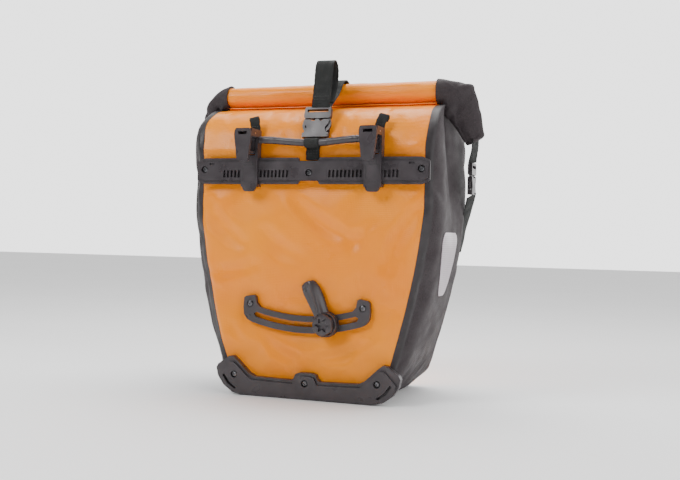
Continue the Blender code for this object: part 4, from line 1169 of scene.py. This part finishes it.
def hook_lines():
    """The thin raised lines on the hooks' faces."""
    for side in ("left", "right"):
        low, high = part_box(f"{side}_hook")
        x = (low[0] + high[0]) / 2
        marks = [((x - 0.0082, x + 0.0082), (0.2984, 0.2990)), ((x - 0.0050, x - 0.0044), (0.2990, 0.3052)),
                 ((x + 0.0044, x + 0.0050), (0.2990, 0.3052)), ((x - 0.0050, x + 0.0050), (0.3024, 0.3030)),
                 ((x - 0.0062, x + 0.0062), (0.2768, 0.2773)), ((x - 0.0092, x - 0.0087), (0.2780, 0.2980)),
                 ((x + 0.0087, x + 0.0092), (0.2780, 0.2980))]
        verts, faces = [], []
        for (x0, x1), (z0, z1) in marks:
            first = len(verts)
            # the foot, the edge and the narrower top of a line
            for y, inset in ((-0.1009, 0.0), (-0.10112, 0.0), (-0.1012, 0.00012)):
                verts += [(x0 + inset, y, z0 + inset), (x1 - inset, y, z0 + inset),
                          (x1 - inset, y, z1 - inset), (x0 + inset, y, z1 - inset)]
            faces += bands(3, 4, first)
            faces.append(tuple(first + 8 + k for k in range(4)))
            faces.append(tuple(first + 3 - k for k in range(4)))
        lines = tidy_normals(add(f"{side}_hook_lines", verts, faces, "sheet_plastic", smooth=False))
        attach(lines, f"{side}_hook_body")


# ---------------------------------------------------------------- stage

def lamp(name, place, target, size, power):
    """An area lamp that faces its target."""
    data = bpy.data.lights.new(name, "AREA")
    data.shape = "RECTANGLE"
    data.size, data.size_y = size
    data.energy = power
    obj = bpy.data.objects.new(name, data)
    obj.location = place
    obj.rotation_euler = (Vector(target) - Vector(place)).to_track_quat("-Z", "Y").to_euler()
    bpy.context.scene.collection.objects.link(obj)


def build_stage():
    """The studio: a world that is brighter behind the bag, a pale floor, three lamps and the camera."""
    world = bpy.data.worlds.new("studio")
    bpy.context.scene.world = world
    world.use_nodes = True
    background = world.node_tree.nodes["Background"]
    background.inputs["Color"].default_value = (1, 1, 1, 1)
    place = world.node_tree.nodes.new("ShaderNodeTexCoord")
    split = world.node_tree.nodes.new("ShaderNodeSeparateXYZ")
    level = world.node_tree.nodes.new("ShaderNodeMapRange")
    for key, value in (("From Min", 0.0), ("From Max", 0.5), ("To Min", 0.10), ("To Max", 2.6)):
        level.inputs[key].default_value = value
    world.node_tree.links.new(place.outputs["Generated"], split.inputs[0])
    world.node_tree.links.new(split.outputs["Y"], level.inputs["Value"])
    world.node_tree.links.new(level.outputs[0], background.inputs["Strength"])
    verts = [(-6, -6, -0.0004), (6, -6, -0.0004), (6, 6, -0.0004), (-6, 6, -0.0004)]
    floor_look = Finish("studio_floor", (0.93, 0.93, 0.93), 0.85)
    floor_look.tint(floor_look.noise(3, 2), (0.92, 0.92, 0.92), (0.94, 0.94, 0.94))
    floor = add("studio_floor", verts, [(0, 1, 2, 3)], floor_look.material)
    lamp("key", (-1.0, -1.3, 1.5), (0, 0, 0.25), (0.8, 0.8), 25)
    lamp("fill", (1.7, -1.0, 0.9), (0, 0, 0.2), (0.8, 1.2), 14)
    lamp("top", (0.1, 0.2, 1.6), (0, 0, 0.3), (1.2, 0.8), 18)
    data = bpy.data.cameras.new("camera")
    data.lens, data.sensor_width = 50.8, 36
    camera = bpy.data.objects.new("camera", data)
    turn = Matrix.Rotation(math.radians(20), 4, "Z") @ Matrix.Rotation(math.radians(90 - 0.27), 4, "X")
    turn = turn @ Matrix.Rotation(math.radians(1.16), 4, "Z")
    camera.matrix_world = Matrix.Translation((0.4593, -1.2286, 0.21)) @ turn
    bpy.context.scene.collection.objects.link(camera)
    bpy.context.scene.camera = camera


finish_cad_nodes()
pieces = split_shell(build_shell())
for side, sign, zone in (("left", -1, LEFT), ("right", 1, RIGHT)):
    side_reflector(f"{side}_reflective_panel", sign, surface_tree(pieces[zone]))
roll_fabric()
wing("left")
wing("right")
straps(surface_tree(pieces[FRONT]))
pull_webbing()
handle_looks()
lower_hook_looks()
pocket_fabric()
hook_lines()
build_stage()
